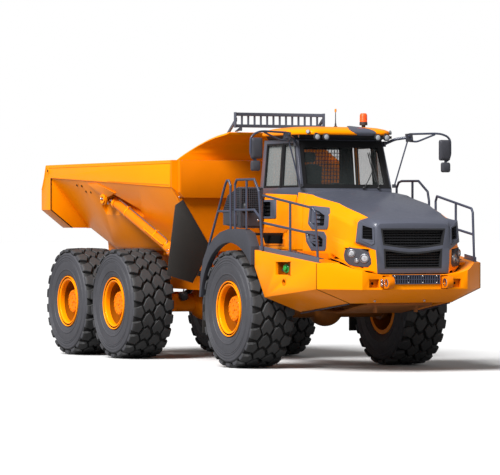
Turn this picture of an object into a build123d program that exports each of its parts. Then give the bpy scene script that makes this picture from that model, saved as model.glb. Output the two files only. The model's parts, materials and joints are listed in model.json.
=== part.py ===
"""Six-wheel articulated dump truck: front unit with cab and hood, articulation
head, rear unit with two driven axles and a tipping bed. Millimetres, +X forward,
+Y to the left, +Z up. The origin is on the ground at the middle of the whole
machine's length and width. Profiles are written from the front axle: x is
forward of it, z is up from the ground."""

import os
from math import atan2, cos, degrees, hypot, radians, sin

from build123d import *

os.makedirs("parts", exist_ok=True)

# ---- driving dimensions -------------------------------------------------
front_axle_x = 2306.5        # front axle ahead of the middle of the machine
middle_axle_x = -4438.0      # from the front axle
rear_axle_x = -6388.0
axle_z = 920.0               # axle centres above the ground
track_half = 1345.0          # wheel centre from the middle plane

tyre_radius = 920.0
tyre_half_width = 372.0
rim_radius = 385.0           # bead seat
flange_radius = 428.0
hub_radius = 205.0
spindle_radius = 118.0

steer_x = -1558.0            # vertical steering pin
steer_pin_radius = 70.0
roll_z = 1180.0              # lengthwise oscillation tube
roll_radius = 170.0

tip_x, tip_z = -6900.0, 1550.0            # bed hinge
hoist_y = 1360.0                          # tipping cylinders
hoist_base = (-2750.0, 1800.0)
hoist_eye = (-5270.0, 2675.0)
hoist_barrel_radius, hoist_rod_radius = 85.0, 50.0

steer_base = (-458.0, 620.0)              # steering cylinders, plan view
steer_eye = (-1808.0, 420.0)
steer_cyl_z = 1180.0
steer_barrel_radius, steer_rod_radius = 55.0, 30.0

hood_rear_x = 1005.0
hood_hinge_x, hood_hinge_z = 2930.0, 1450.0

tow_lug = (3065.0, 1365.0)                # front tow lugs, |y| 500
tow_lug_bore, tow_pin_radius = 36.0, 30.0

bed_front_x, bed_rear_x = -2350.0, -7770.0
bed_half_width = 1600.0
bed_top_z = 3280.0



# ---- planes -------------------------------------------------------------
def side(y):
    """Sketch X forward of the front axle, sketch Y up, extrudes towards -Y."""
    return Plane(origin=(front_axle_x, y, 0), x_dir=(1, 0, 0), z_dir=(0, -1, 0))


def front(x):
    """Sketch X to the left, sketch Y up, extrudes forward."""
    return Plane(origin=(front_axle_x + x, 0, 0), x_dir=(0, 1, 0), z_dir=(1, 0, 0))


def top(z):
    """Sketch X forward of the front axle, sketch Y to the left, extrudes up."""
    return Plane(origin=(front_axle_x, 0, z), x_dir=(1, 0, 0), z_dir=(0, 0, 1))


def at(x, y, z):
    return Vector(front_axle_x + x, y, z)


def mirrored(half):
    """Closed outline from its right-hand half, (y, z) rows with y positive."""
    return [(y, z) for y, z in half] + [(-y, z) for y, z in reversed(half) if y > 0]


def tube(points, radius):
    """Round bar along straight runs, a ball in each corner."""
    with BuildPart() as bar:
        for a, b in zip(points[:-1], points[1:]):
            a, b = at(*a), at(*b)
            with BuildSketch(Plane(origin=a, z_dir=(b - a))):
                Circle(radius)
            extrude(amount=(b - a).length)
        for p in points[1:-1]:
            with Locations(at(*p)):
                Sphere(radius)
    return bar.part


def facets(corners, faces):
    """Solid from named corners and the corner names of each flat face."""
    built = [Face(Wire.make_polygon([at(*corners[c]) for c in face])) for face in faces]
    return Solid(Shell(built))


def save(name, builder):
    builder.part.label = name
    export_step(builder.part, f"parts/{name}.step")


# ---- wheels -------------------------------------------------------------
# name, axle x, side (+1 left, -1 right)
wheels = [
    ("front_left", 0.0, 1), ("front_right", 0.0, -1),
    ("middle_left", middle_axle_x, 1), ("middle_right", middle_axle_x, -1),
    ("rear_left", rear_axle_x, 1), ("rear_right", rear_axle_x, -1),
]

# tyre half section: offset from the wheel's middle plane, radius
tyre_section = [
    (0, rim_radius), (300, rim_radius), (308, rim_radius + 2), (308, flange_radius + 2),
    (340, flange_radius + 22), (tyre_half_width, 600), (tyre_half_width, 690),
    (358, 790), (338, 872), (310, 900), (180, 914), (0, tyre_radius),
]
# rim section, offset positive outwards: barrel, flanges, disc and hub drum
rim_section = [
    (-330, 360), (-330, flange_radius), (-309, flange_radius), (-309, rim_radius - 0.5),
    (309, rim_radius - 0.5), (309, flange_radius), (345, flange_radius), (345, 392),
    (250, 362), (110, 352), (95, hub_radius + 12), (120, hub_radius), (120, 120),
    (112, 0), (55, 0), (55, spindle_radius + 7), (-60, spindle_radius + 7),
    (-60, hub_radius), (58, hub_radius + 14), (70, 340), (-290, 352),
]
for wheel, x, hand in wheels:
    hub = Plane(
        origin=(front_axle_x + x, hand * track_half, axle_z),
        x_dir=(0, hand, 0), z_dir=(1, 0, 0) if hand > 0 else (-1, 0, 0),
    )
    axis = Axis((front_axle_x + x, 0, axle_z), (0, 1, 0))
    with BuildPart() as tyre:
        with BuildSketch(hub):
            left = [(-a, r) for a, r in tyre_section[::-1] if a > 0]
            Polygon(*(tyre_section + left), align=None)
        revolve(axis=axis)
    save(f"tyre_{wheel}", tyre)
    with BuildPart() as rim:
        with BuildSketch(hub):
            Polygon(*rim_section, align=None)
        revolve(axis=axis)
    save(f"rim_{wheel}", rim)


def axle_housing(x):
    """Banjo, tubes, flanges and spindles of one driven axle."""
    with BuildPart() as housing:
        # radius, half length
        for radius, half in ((150, 1090), (195, 960), (spindle_radius, 1390)):
            if radius == 195:
                for hand in (1, -1):
                    with BuildSketch(side(hand * 960)):
                        with Locations((x, axle_z)):
                            Circle(radius)
                    extrude(amount=-hand * 60)
                continue
            with BuildSketch(side(0)):
                with Locations((x, axle_z)):
                    Circle(radius)
            extrude(amount=half, both=True)
        with Locations(at(x, 0, axle_z)):
            Sphere(290)
    return housing.part


with BuildPart() as front_axle:
    add(axle_housing(0))
    for hand in (1, -1):
        add(tube([(-20, hand * 690, 1040), (-90, hand * 650, 1560)], 70))
        add(tube([(-30, hand * 420, 860), (-820, hand * 120, 900)], 55))
    with Locations(at(-840, 0, 900)):
        Box(120, 330, 130)
save("front_axle", front_axle)

with BuildPart() as rear_axles:
    add(axle_housing(middle_axle_x))
    add(axle_housing(rear_axle_x))
    add(tube([(middle_axle_x, 0, 960), (rear_axle_x, 0, 960)], 62))
save("rear_axles", rear_axles)

# ---- front frame --------------------------------------------------------
with BuildPart() as front_frame:
    for hand in (1, -1):
        with BuildSketch(side(hand * 350)):
            Polygon((-1100, 1110), (1500, 1110), (2560, 1180), (2560, 1400),
                    (1500, 1440), (-1100, 1440), align=None)
        extrude(amount=50, both=True)
        # strut towers
        with BuildSketch(side(hand * 510)):
            Polygon((-240, 1300), (60, 1300), (20, 1640), (-200, 1640), align=None)
        extrude(amount=45, both=True)
        with BuildSketch(side(hand * 550)):
            Polygon((-200, 1600), (20, 1600), (20, 1640), (-200, 1640), align=None)
        extrude(amount=180, both=True)
        with BuildSketch(side(hand * 440)):
            Polygon((-240, 1300), (60, 1300), (60, 1400), (-240, 1400), align=None)
        extrude(amount=60, both=True)
        # steering cylinder brackets
        with Locations(at(steer_base[0], hand * 500, steer_cyl_z + 79)):
            Box(120, 240, 34)
        with Locations(at(steer_base[0], hand * 500, steer_cyl_z - 79)):
            Box(120, 240, 34)
        with BuildSketch(top(steer_cyl_z - 96)):
            with Locations((steer_base[0], hand * steer_base[1])):
                Circle(26)
        extrude(amount=192)
    for x in (2520, 1500, -1060):
        with Locations(at(x, 0, 1290)):
            Box(80, 720, 240)
    # yoke: plates above and below the articulation head
    for low in (850, 1425):
        with BuildSketch(top(low)):
            with Locations((steer_x, 0)):
                Circle(200)
            Polygon((steer_x, -200), (-1060, -340), (-1060, 340), (steer_x, 200), align=None)
        extrude(amount=85)
    with BuildSketch(front(-1100)):
        Polygon(*mirrored([(360, 1510), (360, 850)]), align=None)
    extrude(amount=80)
    with BuildSketch(top(850)):
        with Locations((steer_x, 0)):
            Circle(steer_pin_radius)
    extrude(amount=690)
    # cab mounts
    for hand in (1, -1):
        for x in (-560, 420):
            with Locations(at(x, hand * 480, 1600 if x < 0 else 1700)):
                Box(110, 110, 200 if x < 0 else 400)
            with Locations(at(x, hand * 435, 1470)):
                Box(110, 200, 70)
        with Locations(at(-560, hand * 480, 1850)):
            Box(110, 110, 300)
        with Locations(at(420, hand * 480, 1900)):
            Box(110, 110, 200)
    # hood hinge ears, tow lugs and belly plate
    for hand in (1, -1):
        with BuildSketch(side(hand * 500)):
            with Locations(tow_lug):
                Circle(92)
            Polygon((2560, 1275), (3065, 1273), (3065, 1457), (2560, 1400), align=None)
            with Locations(tow_lug):
                Circle(tow_lug_bore, mode=Mode.SUBTRACT)
        extrude(amount=48, both=True)
        with BuildSketch(side(hand * 425)):
            Polygon((2500, 1250), (2570, 1250), (2570, 1380), (2500, 1380), align=None)
        extrude(amount=80, both=True)
    with BuildSketch(side(0)):
        Polygon((2470, 1010), (1500, 870), (700, 900), (700, 930), (1500, 900),
                (2470, 1045), align=None)
    extrude(amount=560, both=True)
    for hand in (1, -1):
        for x in (900, 2300):
            with BuildSketch(side(hand * 350)):
                Polygon((x, 900), (x + 60, 900), (x + 60, 1200), (x, 1200), align=None)
            extrude(amount=20, both=True)
save("front_frame", front_frame)

with BuildPart() as engine_block:
    with Locations(at(1375, 0, 1810)):
        Box(1250, 620, 690)
    with Locations(at(0, 0, 1610)):
        Box(820, 560, 300)
    # radiator pack
    with Locations(at(2640, 0, 1850)):
        Box(120, 1040, 700)
    with Locations(at(2560, 0, 1457)):
        Box(90, 760, 86)
save("engine_block", engine_block)

# ---- front bumper -------------------------------------------------------
# station: x, half width, z of the top, side crease and lower lip
bumper_top = 1900.0


def bumper_block(inset, roof):
    """Closed outer form of the bumper, moved inwards by inset."""
    i = inset
    up = 1.1 * i
    rows = {
        "a": (780 - 2 * i, 1640 - i, 1088 + up), "b": (2450 - 0.6 * i, 1410 - i, 1264 + up),
        "c": (2960 - i, 900 - 0.5 * i, 1257 + up), "d": (2490 - 0.6 * i, 878 - 0.4 * i, 1049 + up),
        "e": (780 - 2 * i, 1045 - i, 851 + up),
    }
    corners = {}
    for name, (x, y, z) in rows.items():
        for tag, hand in (("r", -1), ("l", 1)):
            corners[name + tag] = (x, hand * y, z)
            corners[name.upper() + tag] = (x, hand * y, roof)
    faces = [
        ["Ar", "Br", "Cr", "Cl", "Bl", "Al"],
        ["ar", "er", "el", "al", "Al", "Ar"],
        ["cr", "cl", "Cl", "Cr"], ["cr", "dr", "dl", "cl"], ["dr", "er", "el", "dl"],
    ]
    for tag in "rl":
        faces += [
            ["a" + tag, "b" + tag, "B" + tag, "A" + tag],
            ["b" + tag, "c" + tag, "C" + tag, "B" + tag],
            ["a" + tag, "e" + tag, "d" + tag], ["a" + tag, "d" + tag, "b" + tag],
            ["b" + tag, "d" + tag, "c" + tag],
        ]
    return facets(corners, faces)


def bumper_roof(drop):
    """Everything above the bumper's top surface, lowered by drop."""
    with BuildPart() as above:
        with BuildSketch(side(0)):
            Polygon((500, 1879 - drop), (2450, 1655 - drop), (3300, 1655 - drop),
                    (3300, 2400), (500, 2400), align=None)
        extrude(amount=1900, both=True)
        with BuildSketch(front(2440)):
            Polygon(*mirrored([(1180, 1660 - drop), (1000, 1572 - drop), (800, 1515 - drop),
                               (560, 1482 - drop)]), align=None)
        extrude(amount=900)
    return above.part


with BuildPart() as front_bumper:
    add(bumper_block(0, bumper_top))
    add(bumper_roof(0), mode=Mode.SUBTRACT)
    with BuildPart(mode=Mode.PRIVATE) as inside:
        add(bumper_block(42, bumper_top))
        add(bumper_roof(42), mode=Mode.SUBTRACT)
    add(inside.part, mode=Mode.SUBTRACT)
    # rear edge behind the front wheel
    with BuildSketch(side(0)):
        Polygon((300, 2000), (815, 2000), (815, 1580), (1090, 1110), (1160, 700),
                (300, 700), align=None)
    extrude(amount=1800, both=True, mode=Mode.SUBTRACT)
    # engine bay under the hood, and the space between the lower lips
    with BuildSketch(top(1300)):
        Polygon((300, -1010), (2530, -1010), (2700, -860), (2700, 860), (2530, 1010),
                (300, 1010), align=None)
    extrude(amount=700, mode=Mode.SUBTRACT)
    with BuildSketch(top(700)):
        Polygon((300, -1000), (1150, -1000), (2440, -840), (2440, 840), (1150, 1000),
                (300, 1000), align=None)
    extrude(amount=620, mode=Mode.SUBTRACT)
    # x, z, width, height of the openings in the right side panel
    for x, z, w, h in ((1575, 1568, 400, 196),):
        with BuildSketch(side(-1200)):
            with Locations((x, z)):
                Rectangle(w, h)
        extrude(amount=500, mode=Mode.SUBTRACT)
    with BuildSketch(side(-1200)):
        with Locations((1600, 1360)):
            Circle(42)
    extrude(amount=500, mode=Mode.SUBTRACT)
    # step recess in the left side panel
    with BuildSketch(side(1800)):
        with Locations((1620, 1490)):
            Rectangle(620, 440)
    extrude(amount=500, mode=Mode.SUBTRACT)
    # pockets beside the tow lugs and slots round the lugs
    with BuildSketch(front(2700)):
        for hand in (1, -1):
            with Locations((hand * 700, 1350)):
                Rectangle(170, 130)
            with Locations((hand * 500, 1365)):
                Rectangle(116, 206)
    extrude(amount=400, mode=Mode.SUBTRACT)
save("front_bumper", front_bumper)

with BuildPart() as access_steps:
    # left: two treads in a box that fills the recess of the side panel
    for low in (1270, 1475):
        with BuildSketch(top(low)):
            Polygon((1310, 1562), (1930, 1478), (1930, 1200), (1310, 1200), align=None)
        extrude(amount=30)
    with BuildSketch(side(1230)):
        Polygon((1310, 1270), (1930, 1270), (1930, 1662), (1310, 1662), align=None)
    extrude(amount=30)
    # x of the end plates and their outer edge
    for x, edge in ((1310, 1560), (1902, 1480)):
        with BuildSketch(front(x)):
            Polygon((1200, 1270), (edge, 1270), (edge, 1662), (1200, 1662), align=None)
        extrude(amount=28)
save("access_steps", access_steps)

# ---- hood and cowl skin -------------------------------------------------
# station x, then half widths and heights: bottom, lamp top, knee, shoulder low,
# shoulder high (the colour line), and the height of the middle
skin_rows = [
    (-780, (905, 1840), (905, 1900), (905, 2150), (902, 2600), (868, 2735), 2790),
    (740, (905, 1705), (905, 1900), (905, 2150), (900, 2580), (856, 2735), 2790),
    (1200, (905, 1695), (905, 1900), (905, 2120), (893, 2480), (820, 2688), 2742),
    (1950, (920, 1695), (915, 1900), (905, 2060), (880, 2370), (762, 2553), 2596),
    (2480, (985, 1695), (968, 1905), (915, 1985), (858, 2240), (702, 2405), 2436),
    (2640, (925, 1625), (912, 1900), (893, 1975), (846, 2275), (675, 2355), 2378),
    (2762, (775, 1545), (768, 1895), (868, 1969), (836, 2296), (655, 2317), 2332),
    (2890, (618, 1500), (620, 1893), (612, 1965), (606, 2215), (560, 2245), 2256),
]


def skin_block(first, last, inset, drop):
    """Solid under the skin between two stations, moved inwards by inset."""
    with BuildPart() as block:
        for row in skin_rows[first:last + 1]:
            x, middle = row[0], row[-1]
            half = [(0, middle - inset)]
            half += [(y - inset, z - (inset if i > 2 else 0)) for i, (y, z) in
                     reversed(list(enumerate(row[1:-1])))]
            y, z = half[-1]
            half[-1] = (y, z - drop)
            with BuildSketch(front(x if not (inset and row is skin_rows[last]) else x - 55)):
                Polygon(*mirrored(half), align=None)
        loft(ruled=True)
    return block.part


with BuildPart() as hood_skin:
    add(skin_block(1, 7, 0, 0))
    add(skin_block(1, 7, 36, 60), mode=Mode.SUBTRACT)
    with BuildSketch(front(0)):
        Rectangle(4000, 8000)
    extrude(amount=hood_rear_x, mode=Mode.SUBTRACT)
    # side vents: outline (x, z)
    for vent in (
        [(1210, 2500), (1200, 2260), (1330, 2180), (1800, 2180), (1830, 2220), (1830, 2400), (1740, 2470)],
        [(1110, 2120), (1150, 1980), (1320, 1850), (1750, 1850), (1790, 1890), (1790, 2030), (1700, 2100)],
    ):
        with BuildSketch(side(0)):
            Polygon(*vent, align=None)
        extrude(amount=1200, both=True, mode=Mode.SUBTRACT)

# front view zone of the grille and plan view zone of the grey top
grille_zone = mirrored([(0, 2700), (850, 2700), (850, 2296), (882, 1955), (632, 1846), (604, 1400)])
top_zone = [(400, 868), (740, 856), (1200, 820), (1950, 762), (2480, 702), (2762, 655), (2762, 300)]
top_zone += [(x, -y) for x, y in reversed(top_zone)]

with BuildPart() as hood_top:
    add(hood_skin.part)
    with BuildSketch(top(2100)):
        Polygon(*top_zone, align=None)
    extrude(amount=800, mode=Mode.INTERSECT)
save("hood_top", hood_top)

with BuildPart() as grille:
    add(hood_skin.part)
    with BuildSketch(front(2700)):
        Polygon(*grille_zone, align=None)
    extrude(amount=400, mode=Mode.INTERSECT)
    with BuildSketch(top(2100)):
        Polygon(*top_zone, align=None)
    extrude(amount=800, mode=Mode.SUBTRACT)
    # main openings and the wing openings
    with BuildSketch(front(2700)):
        Polygon(*mirrored([(538, 2160), (500, 1935), (250, 1900), (80, 1885)]), align=None)
        Polygon(*mirrored([(80, 1805), (250, 1820), (488, 1855), (474, 1585)]), align=None)
        for hand in (1, -1):
            Polygon((hand * 800, 2238), (hand * 648, 2190), (hand * 660, 2000),
                    (hand * 812, 2020), align=None)
    extrude(amount=400, mode=Mode.SUBTRACT)
save("grille", grille)

with BuildPart() as hood_shell:
    add(hood_skin.part)
    with BuildSketch(top(2100)):
        Polygon(*top_zone, align=None)
    extrude(amount=800, mode=Mode.SUBTRACT)
    with BuildSketch(front(2700)):
        Polygon(*grille_zone, align=None)
    extrude(amount=400, mode=Mode.SUBTRACT)
    # seats of the headlamps
    for hand in (1, -1):
        with BuildSketch(front(2480)):
            Polygon((hand * 960, 1885), (hand * 700, 1862), (hand * 690, 1640),
                    (hand * 930, 1680), align=None)
        extrude(amount=400, mode=Mode.SUBTRACT)
save("hood_shell", hood_shell)

with BuildPart() as headlamps:
    for hand in (1, -1):
        with BuildSketch(top(1692)):
            Polygon((2530, hand * 905), (2610, hand * 925), (2745, hand * 760),
                    (2790, hand * 705), (2740, hand * 700), (2600, hand * 860), align=None)
        extrude(amount=162)
save("headlamps", headlamps)

with BuildPart() as side_cowls:
    add(skin_block(0, 1, 0, 0))
    with BuildPart(mode=Mode.PRIVATE) as bay:
        with BuildSketch(front(-900)):
            Polygon(*mirrored([(868, 1500), (868, 2900)]), align=None)
        extrude(amount=1900)
    add(bay.part, mode=Mode.SUBTRACT)
    # lower and rear cut lines over the front wheel
    with BuildSketch(side(0)):
        Polygon((-800, 1700), (-800, 2232), (-560, 2232), (-420, 1990), (-250, 1850),
                (800, 1850), (800, 1600), align=None)
    extrude(amount=1200, both=True, mode=Mode.SUBTRACT)
    with BuildSketch(side(0)):
        with Locations((-175, 2480)):
            Rectangle(490, 260)
    extrude(amount=1200, mode=Mode.SUBTRACT)
    with BuildSketch(side(0)):
        Polygon((-330, 2080), (60, 2080), (90, 1945), (-270, 1945), align=None)
    extrude(amount=1200, mode=Mode.SUBTRACT)
    # doorway on the left
    with BuildSketch(side(1200)):
        Polygon((-525, 2180), (215, 2180), (215, 2900), (-525, 2900), align=None)
    extrude(amount=700, mode=Mode.SUBTRACT)
    # front end pieces up to the hood's rear edge
    for hand in (1, -1):
        with BuildSketch(side(hand * 886)):
            Polygon((740, 1850), (hood_rear_x - 8, 1850), (hood_rear_x - 8, 2520),
                    (740, 2560), align=None)
        extrude(amount=18, both=True)
        with BuildSketch(side(hand * 840)):
            Polygon((738, 1900), (778, 1900), (778, 2500), (738, 2500), align=None)
        extrude(amount=40, both=True)
save("side_cowls", side_cowls)

with BuildPart() as scuttle:
    with BuildSketch(front(762)):
        Polygon(*mirrored([(0, 2788), (855, 2733), (893, 2575), (868, 2575), (840, 2690),
                           (0, 2745)]), align=None)
    with BuildSketch(front(hood_rear_x - 8)):
        Polygon(*mirrored([(0, 2764), (835, 2708), (893, 2530), (868, 2530), (820, 2665),
                           (0, 2722)]), align=None)
    loft(ruled=True)
save("scuttle", scuttle)

# ---- cab ----------------------------------------------------------------
# z, rear x, front x, half width
cab_rows = [(2010, -700, 735, 800), (2790, -700, 735, 800), (3565, -640, 490, 748)]


with BuildPart() as cab_frame:
    for lower, upper in zip(cab_rows[:-1], cab_rows[1:]):
        for z, x0, x1, w in (lower, upper):
            with BuildSketch(top(z)):
                Polygon((x0, -w), (x1, -w), (x1, w), (x0, w), align=None)
        loft(ruled=True)
    for lower, upper in zip(cab_rows[:-1], cab_rows[1:]):
        for z, x0, x1, w in (lower, upper):
            z += {2010: 60, 3565: -50}.get(z, 0)
            with BuildSketch(top(z)):
                Polygon((x0 + 55, 55 - w), (x1 - 55, 55 - w), (x1 - 55, w - 55),
                        (x0 + 55, w - 55), align=None)
        loft(ruled=True, mode=Mode.SUBTRACT)
    # windscreen and rear window
    with BuildSketch(front(300)):
        Polygon(*mirrored([(672, 3480), (700, 2840)]), align=None)
    extrude(amount=700, mode=Mode.SUBTRACT)
    with BuildSketch(front(-900)):
        Polygon(*mirrored([(610, 3460), (640, 2860)]), align=None)
    extrude(amount=600, mode=Mode.SUBTRACT)
    # right side windows, doorway and quarter window on the left
    with BuildSketch(side(-600)):
        Polygon((-560, 2820), (10, 2820), (10, 3500), (-530, 3500), align=None)
        Polygon((65, 2820), (640, 2820), (440, 3500), (65, 3500), align=None)
    extrude(amount=400, mode=Mode.SUBTRACT)
    with BuildSketch(side(1100)):
        Polygon((-500, 2185), (205, 2185), (205, 3520), (-500, 3520), align=None)
        Polygon((265, 2820), (640, 2820), (440, 3500), (265, 3500), align=None)
    extrude(amount=500, mode=Mode.SUBTRACT)
save("cab_frame", cab_frame)

with BuildPart() as cab_glass:
    # windscreen
    with BuildSketch(top(2845)):
        Polygon((680, -697), (692, -697), (692, 697), (680, 697), align=None)
    with BuildSketch(top(3475)):
        Polygon((482, -668), (494, -668), (494, 668), (482, 668), align=None)
    loft(ruled=True)
    with BuildSketch(front(-675)):
        Polygon(*mirrored([(606, 3456), (636, 2864)]), align=None)
    extrude(amount=10)
    # side panes lean in with the cab side: side, outline
    for hand, pane in (
        (-1, [(-556, 2824), (6, 2824), (6, 3496), (-526, 3496)]),
        (-1, [(69, 2824), (636, 2824), (436, 3496), (69, 3496)]),
        (1, [(269, 2824), (636, 2824), (436, 3496), (269, 3496)]),
    ):
        with BuildPart(mode=Mode.PRIVATE) as slab:
            with BuildSketch(front(-700)):
                Polygon((hand * 776, 2800), (hand * 766, 2800), (hand * 719, 3520),
                        (hand * 729, 3520), align=None)
            extrude(amount=1500)
            with BuildSketch(side(hand * 750)):
                Polygon(*pane, align=None)
            extrude(amount=200, both=True, mode=Mode.INTERSECT)
        add(slab.part)
save("cab_glass", cab_glass)

door_outline = [(-490, 2195), (195, 2195), (195, 3512), (-490, 3512)]
with BuildPart() as cab_door:
    with BuildPart(mode=Mode.PRIVATE) as leaf:
        with BuildSketch(front(-700)):
            Polygon((812, 2090), (862, 2090), (862, 2780), (812, 3530), (762, 3530),
                    (812, 2780), align=None)
        extrude(amount=1500)
    add(leaf.part)
    with BuildSketch(side(1100)):
        Polygon(*door_outline, align=None)
    extrude(amount=500, mode=Mode.INTERSECT)
    with BuildSketch(side(1100)):
        Polygon((-430, 2790), (140, 2790), (140, 3455), (-430, 3455), align=None)
        Polygon((-420, 2270), (130, 2270), (130, 2640), (-420, 2640), align=None)
    extrude(amount=500, mode=Mode.SUBTRACT)
    with BuildSketch(side(840)):
        Polygon((-420, 2270), (130, 2270), (130, 2640), (-420, 2640), align=None)
    extrude(amount=14)
    for z in (2300, 2620):
        with BuildSketch(top(z)):
            with Locations((-505, 842)):
                Circle(14)
            with Locations((-493, 842)):
                Rectangle(24, 18)
        extrude(amount=100)
save("cab_door", cab_door)

with BuildPart() as door_glass:
    with BuildPart(mode=Mode.PRIVATE) as pane:
        with BuildSketch(front(-700)):
            Polygon((829, 2780), (839, 2780), (792, 3480), (782, 3480), align=None)
        extrude(amount=1500)
    add(pane.part)
    with BuildSketch(side(1100)):
        Polygon((-427, 2793), (137, 2793), (137, 3452), (-427, 3452), align=None)
    extrude(amount=500, mode=Mode.INTERSECT)
save("door_glass", door_glass)

with BuildPart() as cab_roof:
    # z, rear x, front x, half width
    rows = [(3567, -720, 830, 830), (3640, -745, 880, 900), (3690, -740, 870, 895),
            (3762, -600, 640, 700)]
    for lower, upper in zip(rows[:-1], rows[1:]):
        for z, x0, x1, w in (lower, upper):
            with BuildSketch(top(z)):
                Polygon((x0, 120 - w), (x0 + 120, -w), (x1 - 160, -w), (x1, 170 - w),
                        (x1, w - 170), (x1 - 160, w), (x0 + 120, w), (x0, w - 120), align=None)
        loft(ruled=True)
save("cab_roof", cab_roof)

with BuildPart() as roof_fittings:
    # y of the lamps
    for y in (-610, -452, 452, 610):
        with BuildSketch(front(882)):
            with Locations((y, 3592)):
                Circle(54)
        extrude(amount=52)
    for radius, low, high in ((62, 3764, 3800), (54, 3800, 3980)):
        with BuildSketch(top(low)):
            with Locations((540, 400)):
                Circle(radius)
        extrude(amount=high - low)
    with BuildSketch(top(3764)):
        with Locations((360, 0)):
            Circle(11)
    extrude(amount=286)
save("roof_fittings", roof_fittings)

with BuildPart() as cab_interior:
    # seat: pedestal, cushion, back, head rest
    for x, y, z, l, w, h in (
        (-150, 0, 2240, 340, 360, 340), (-130, 0, 2470, 540, 520, 120),
        (-400, 0, 2790, 130, 500, 560), (-425, 0, 3130, 90, 300, 130),
        (420, 0, 2350, 300, 1300, 560), (-60, -520, 2330, 700, 260, 520),
    ):
        with Locations(at(x, y, z)):
            Box(l, w, h)
    with BuildSketch(Plane(origin=at(330, 0, 2560), x_dir=(0, 1, 0), z_dir=(-0.45, 0, 0.9))):
        Circle(30)
    extrude(amount=220)
    with BuildSketch(Plane(origin=at(240, 0, 2745), x_dir=(0, 1, 0), z_dir=(-0.45, 0, 0.9))):
        Circle(225)
        Circle(195, mode=Mode.SUBTRACT)
        Rectangle(400, 40)
    extrude(amount=28)
save("cab_interior", cab_interior)

# ---- fenders, cooler, rails, mirrors ------------------------------------
fender_outer = [(-1075, 1090), (-1030, 1420), (-930, 1680), (-790, 1850), (-560, 2010),
                (-300, 2115), (0, 2165), (430, 2165), (640, 2105), (790, 1900), (790, 1620)]
with BuildPart() as front_fenders:
    for hand in (1, -1):
        # lip, then the crown behind it: outer y, inner y, cut depth
        for y0, y1, depth in ((1690, 1600, 0), (1600, 1540, 45)):
            with BuildSketch(side(hand * (y0 + y1) / 2)):
                Polygon(*(fender_outer + [(735, 1560), (300, 1300), (-800, 1090)]), align=None)
                if depth:
                    Polygon(*([(x * 0.955 if x < 700 else x - depth, z - depth) for x, z in fender_outer]
                              + [(700, 1300), (300, 900), (-1010, 900)]), align=None,
                            mode=Mode.SUBTRACT)
                with Locations((0, axle_z)):
                    Circle(1035 if not depth else 1000, mode=Mode.SUBTRACT)
            extrude(amount=(y0 - y1) / 2, both=True)
        # brackets from the cowl
        for x in (-120, 320):
            with Locations(at(x, hand * 1225, 2085)):
                Box(70, 638, 40)
save("front_fenders", front_fenders)

with BuildPart() as front_mudflaps:
    for hand in (1, -1):
        with BuildSketch(front(-1062)):
            Polygon((hand * 1640, 1080), (hand * 1640, 520), (hand * 980, 520),
                    (hand * 980, 1080), align=None)
        extrude(amount=16)
save("front_mudflaps", front_mudflaps)

with BuildPart() as cooler_unit:
    with BuildSketch(side(-1125)):
        Polygon((-960, 2230), (-330, 2175), (-330, 2810), (-430, 2820), (-960, 2640), align=None)
    extrude(amount=200, both=True)
save("cooler_unit", cooler_unit)

rail_radius = 19.0
# rail frames: sides (-1 right, 1 left), then runs of (x, y, z)
rail_frames = {
    "step_rails": [
        ((-1,), [(-880, 1645, 1784), (-215, 1645, 2850), (-150, 1645, 2920), (-80, 1645, 2920),
                 (-20, 1645, 2840), (-10, 1645, 2166)]),
        ((-1,), [(-470, 1645, 2442), (-12, 1645, 2442)]),
    ],
    "fender_rails": [
        ((-1,), [(60, 1605, 2166), (60, 1605, 2860), (120, 1605, 2930), (740, 1605, 2930),
                 (900, 1605, 2740), (965, 1575, 1835)]),
        ((-1,), [(470, 1605, 2166), (470, 1605, 2930)]),
        ((-1,), [(60, 1605, 2460), (740, 1605, 2460), (930, 1590, 2330)]),
        ((1,), [(-590, 1605, 2012), (-590, 1605, 2830), (-520, 1605, 2915), (-420, 1605, 2935),
                (140, 1605, 2930), (440, 1605, 2757), (485, 1605, 2610), (500, 1605, 2156)]),
        ((1,), [(-60, 1605, 2164), (-60, 1605, 2932)]),
        ((1,), [(-590, 1605, 2460), (492, 1605, 2460)]),
    ],
    "walkway_rails": [
        ((-1, 1), [(850, 1530, 1850), (835, 1530, 2600), (890, 1525, 2680), (2250, 1370, 2480),
                   (2310, 1360, 2420), (2380, 1345, 1670)]),
        ((-1, 1), [(1640, 1440, 1760), (1640, 1440, 2570)]),
        ((-1, 1), [(842, 1530, 2265), (2340, 1353, 2080)]),
    ],
}
for rail_name, runs in rail_frames.items():
    with BuildPart() as guard_rails:
        for sides, run in runs:
            for hand in sides:
                add(tube([(x, hand * y, z) for x, y, z in run], rail_radius))
    save(rail_name, guard_rails)

with BuildPart() as mirrors:
    for hand in (1, -1):
        for run, radius in (
            ([(560, 790, 3500), (800, 1055, 3600), (865, 1500, 3665), (900, 1590, 3650),
              (915, 1640, 3560)], 16),
            ([(800, 1055, 3600), (830, 1200, 3560), (865, 1500, 3665)], 12),
            ([(800, 1055, 3600), (762, 830, 2840)], 12),
            ([(900, 1590, 3650), (905, 1735, 3610), (905, 1760, 3300), (905, 1660, 3215)], 11),
        ):
            add(tube([(x, hand * y, z) for x, y, z in run], radius))
        with Locations(at(915, hand * 1650, 3405)):
            Box(70, 190, 330)
        with Locations(at(915, hand * 1668, 3135)):
            Box(70, 150, 160)
        with Locations(at(905, hand * 1660, 3227)):
            Box(30, 40, 40)
save("mirrors", mirrors)

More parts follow.
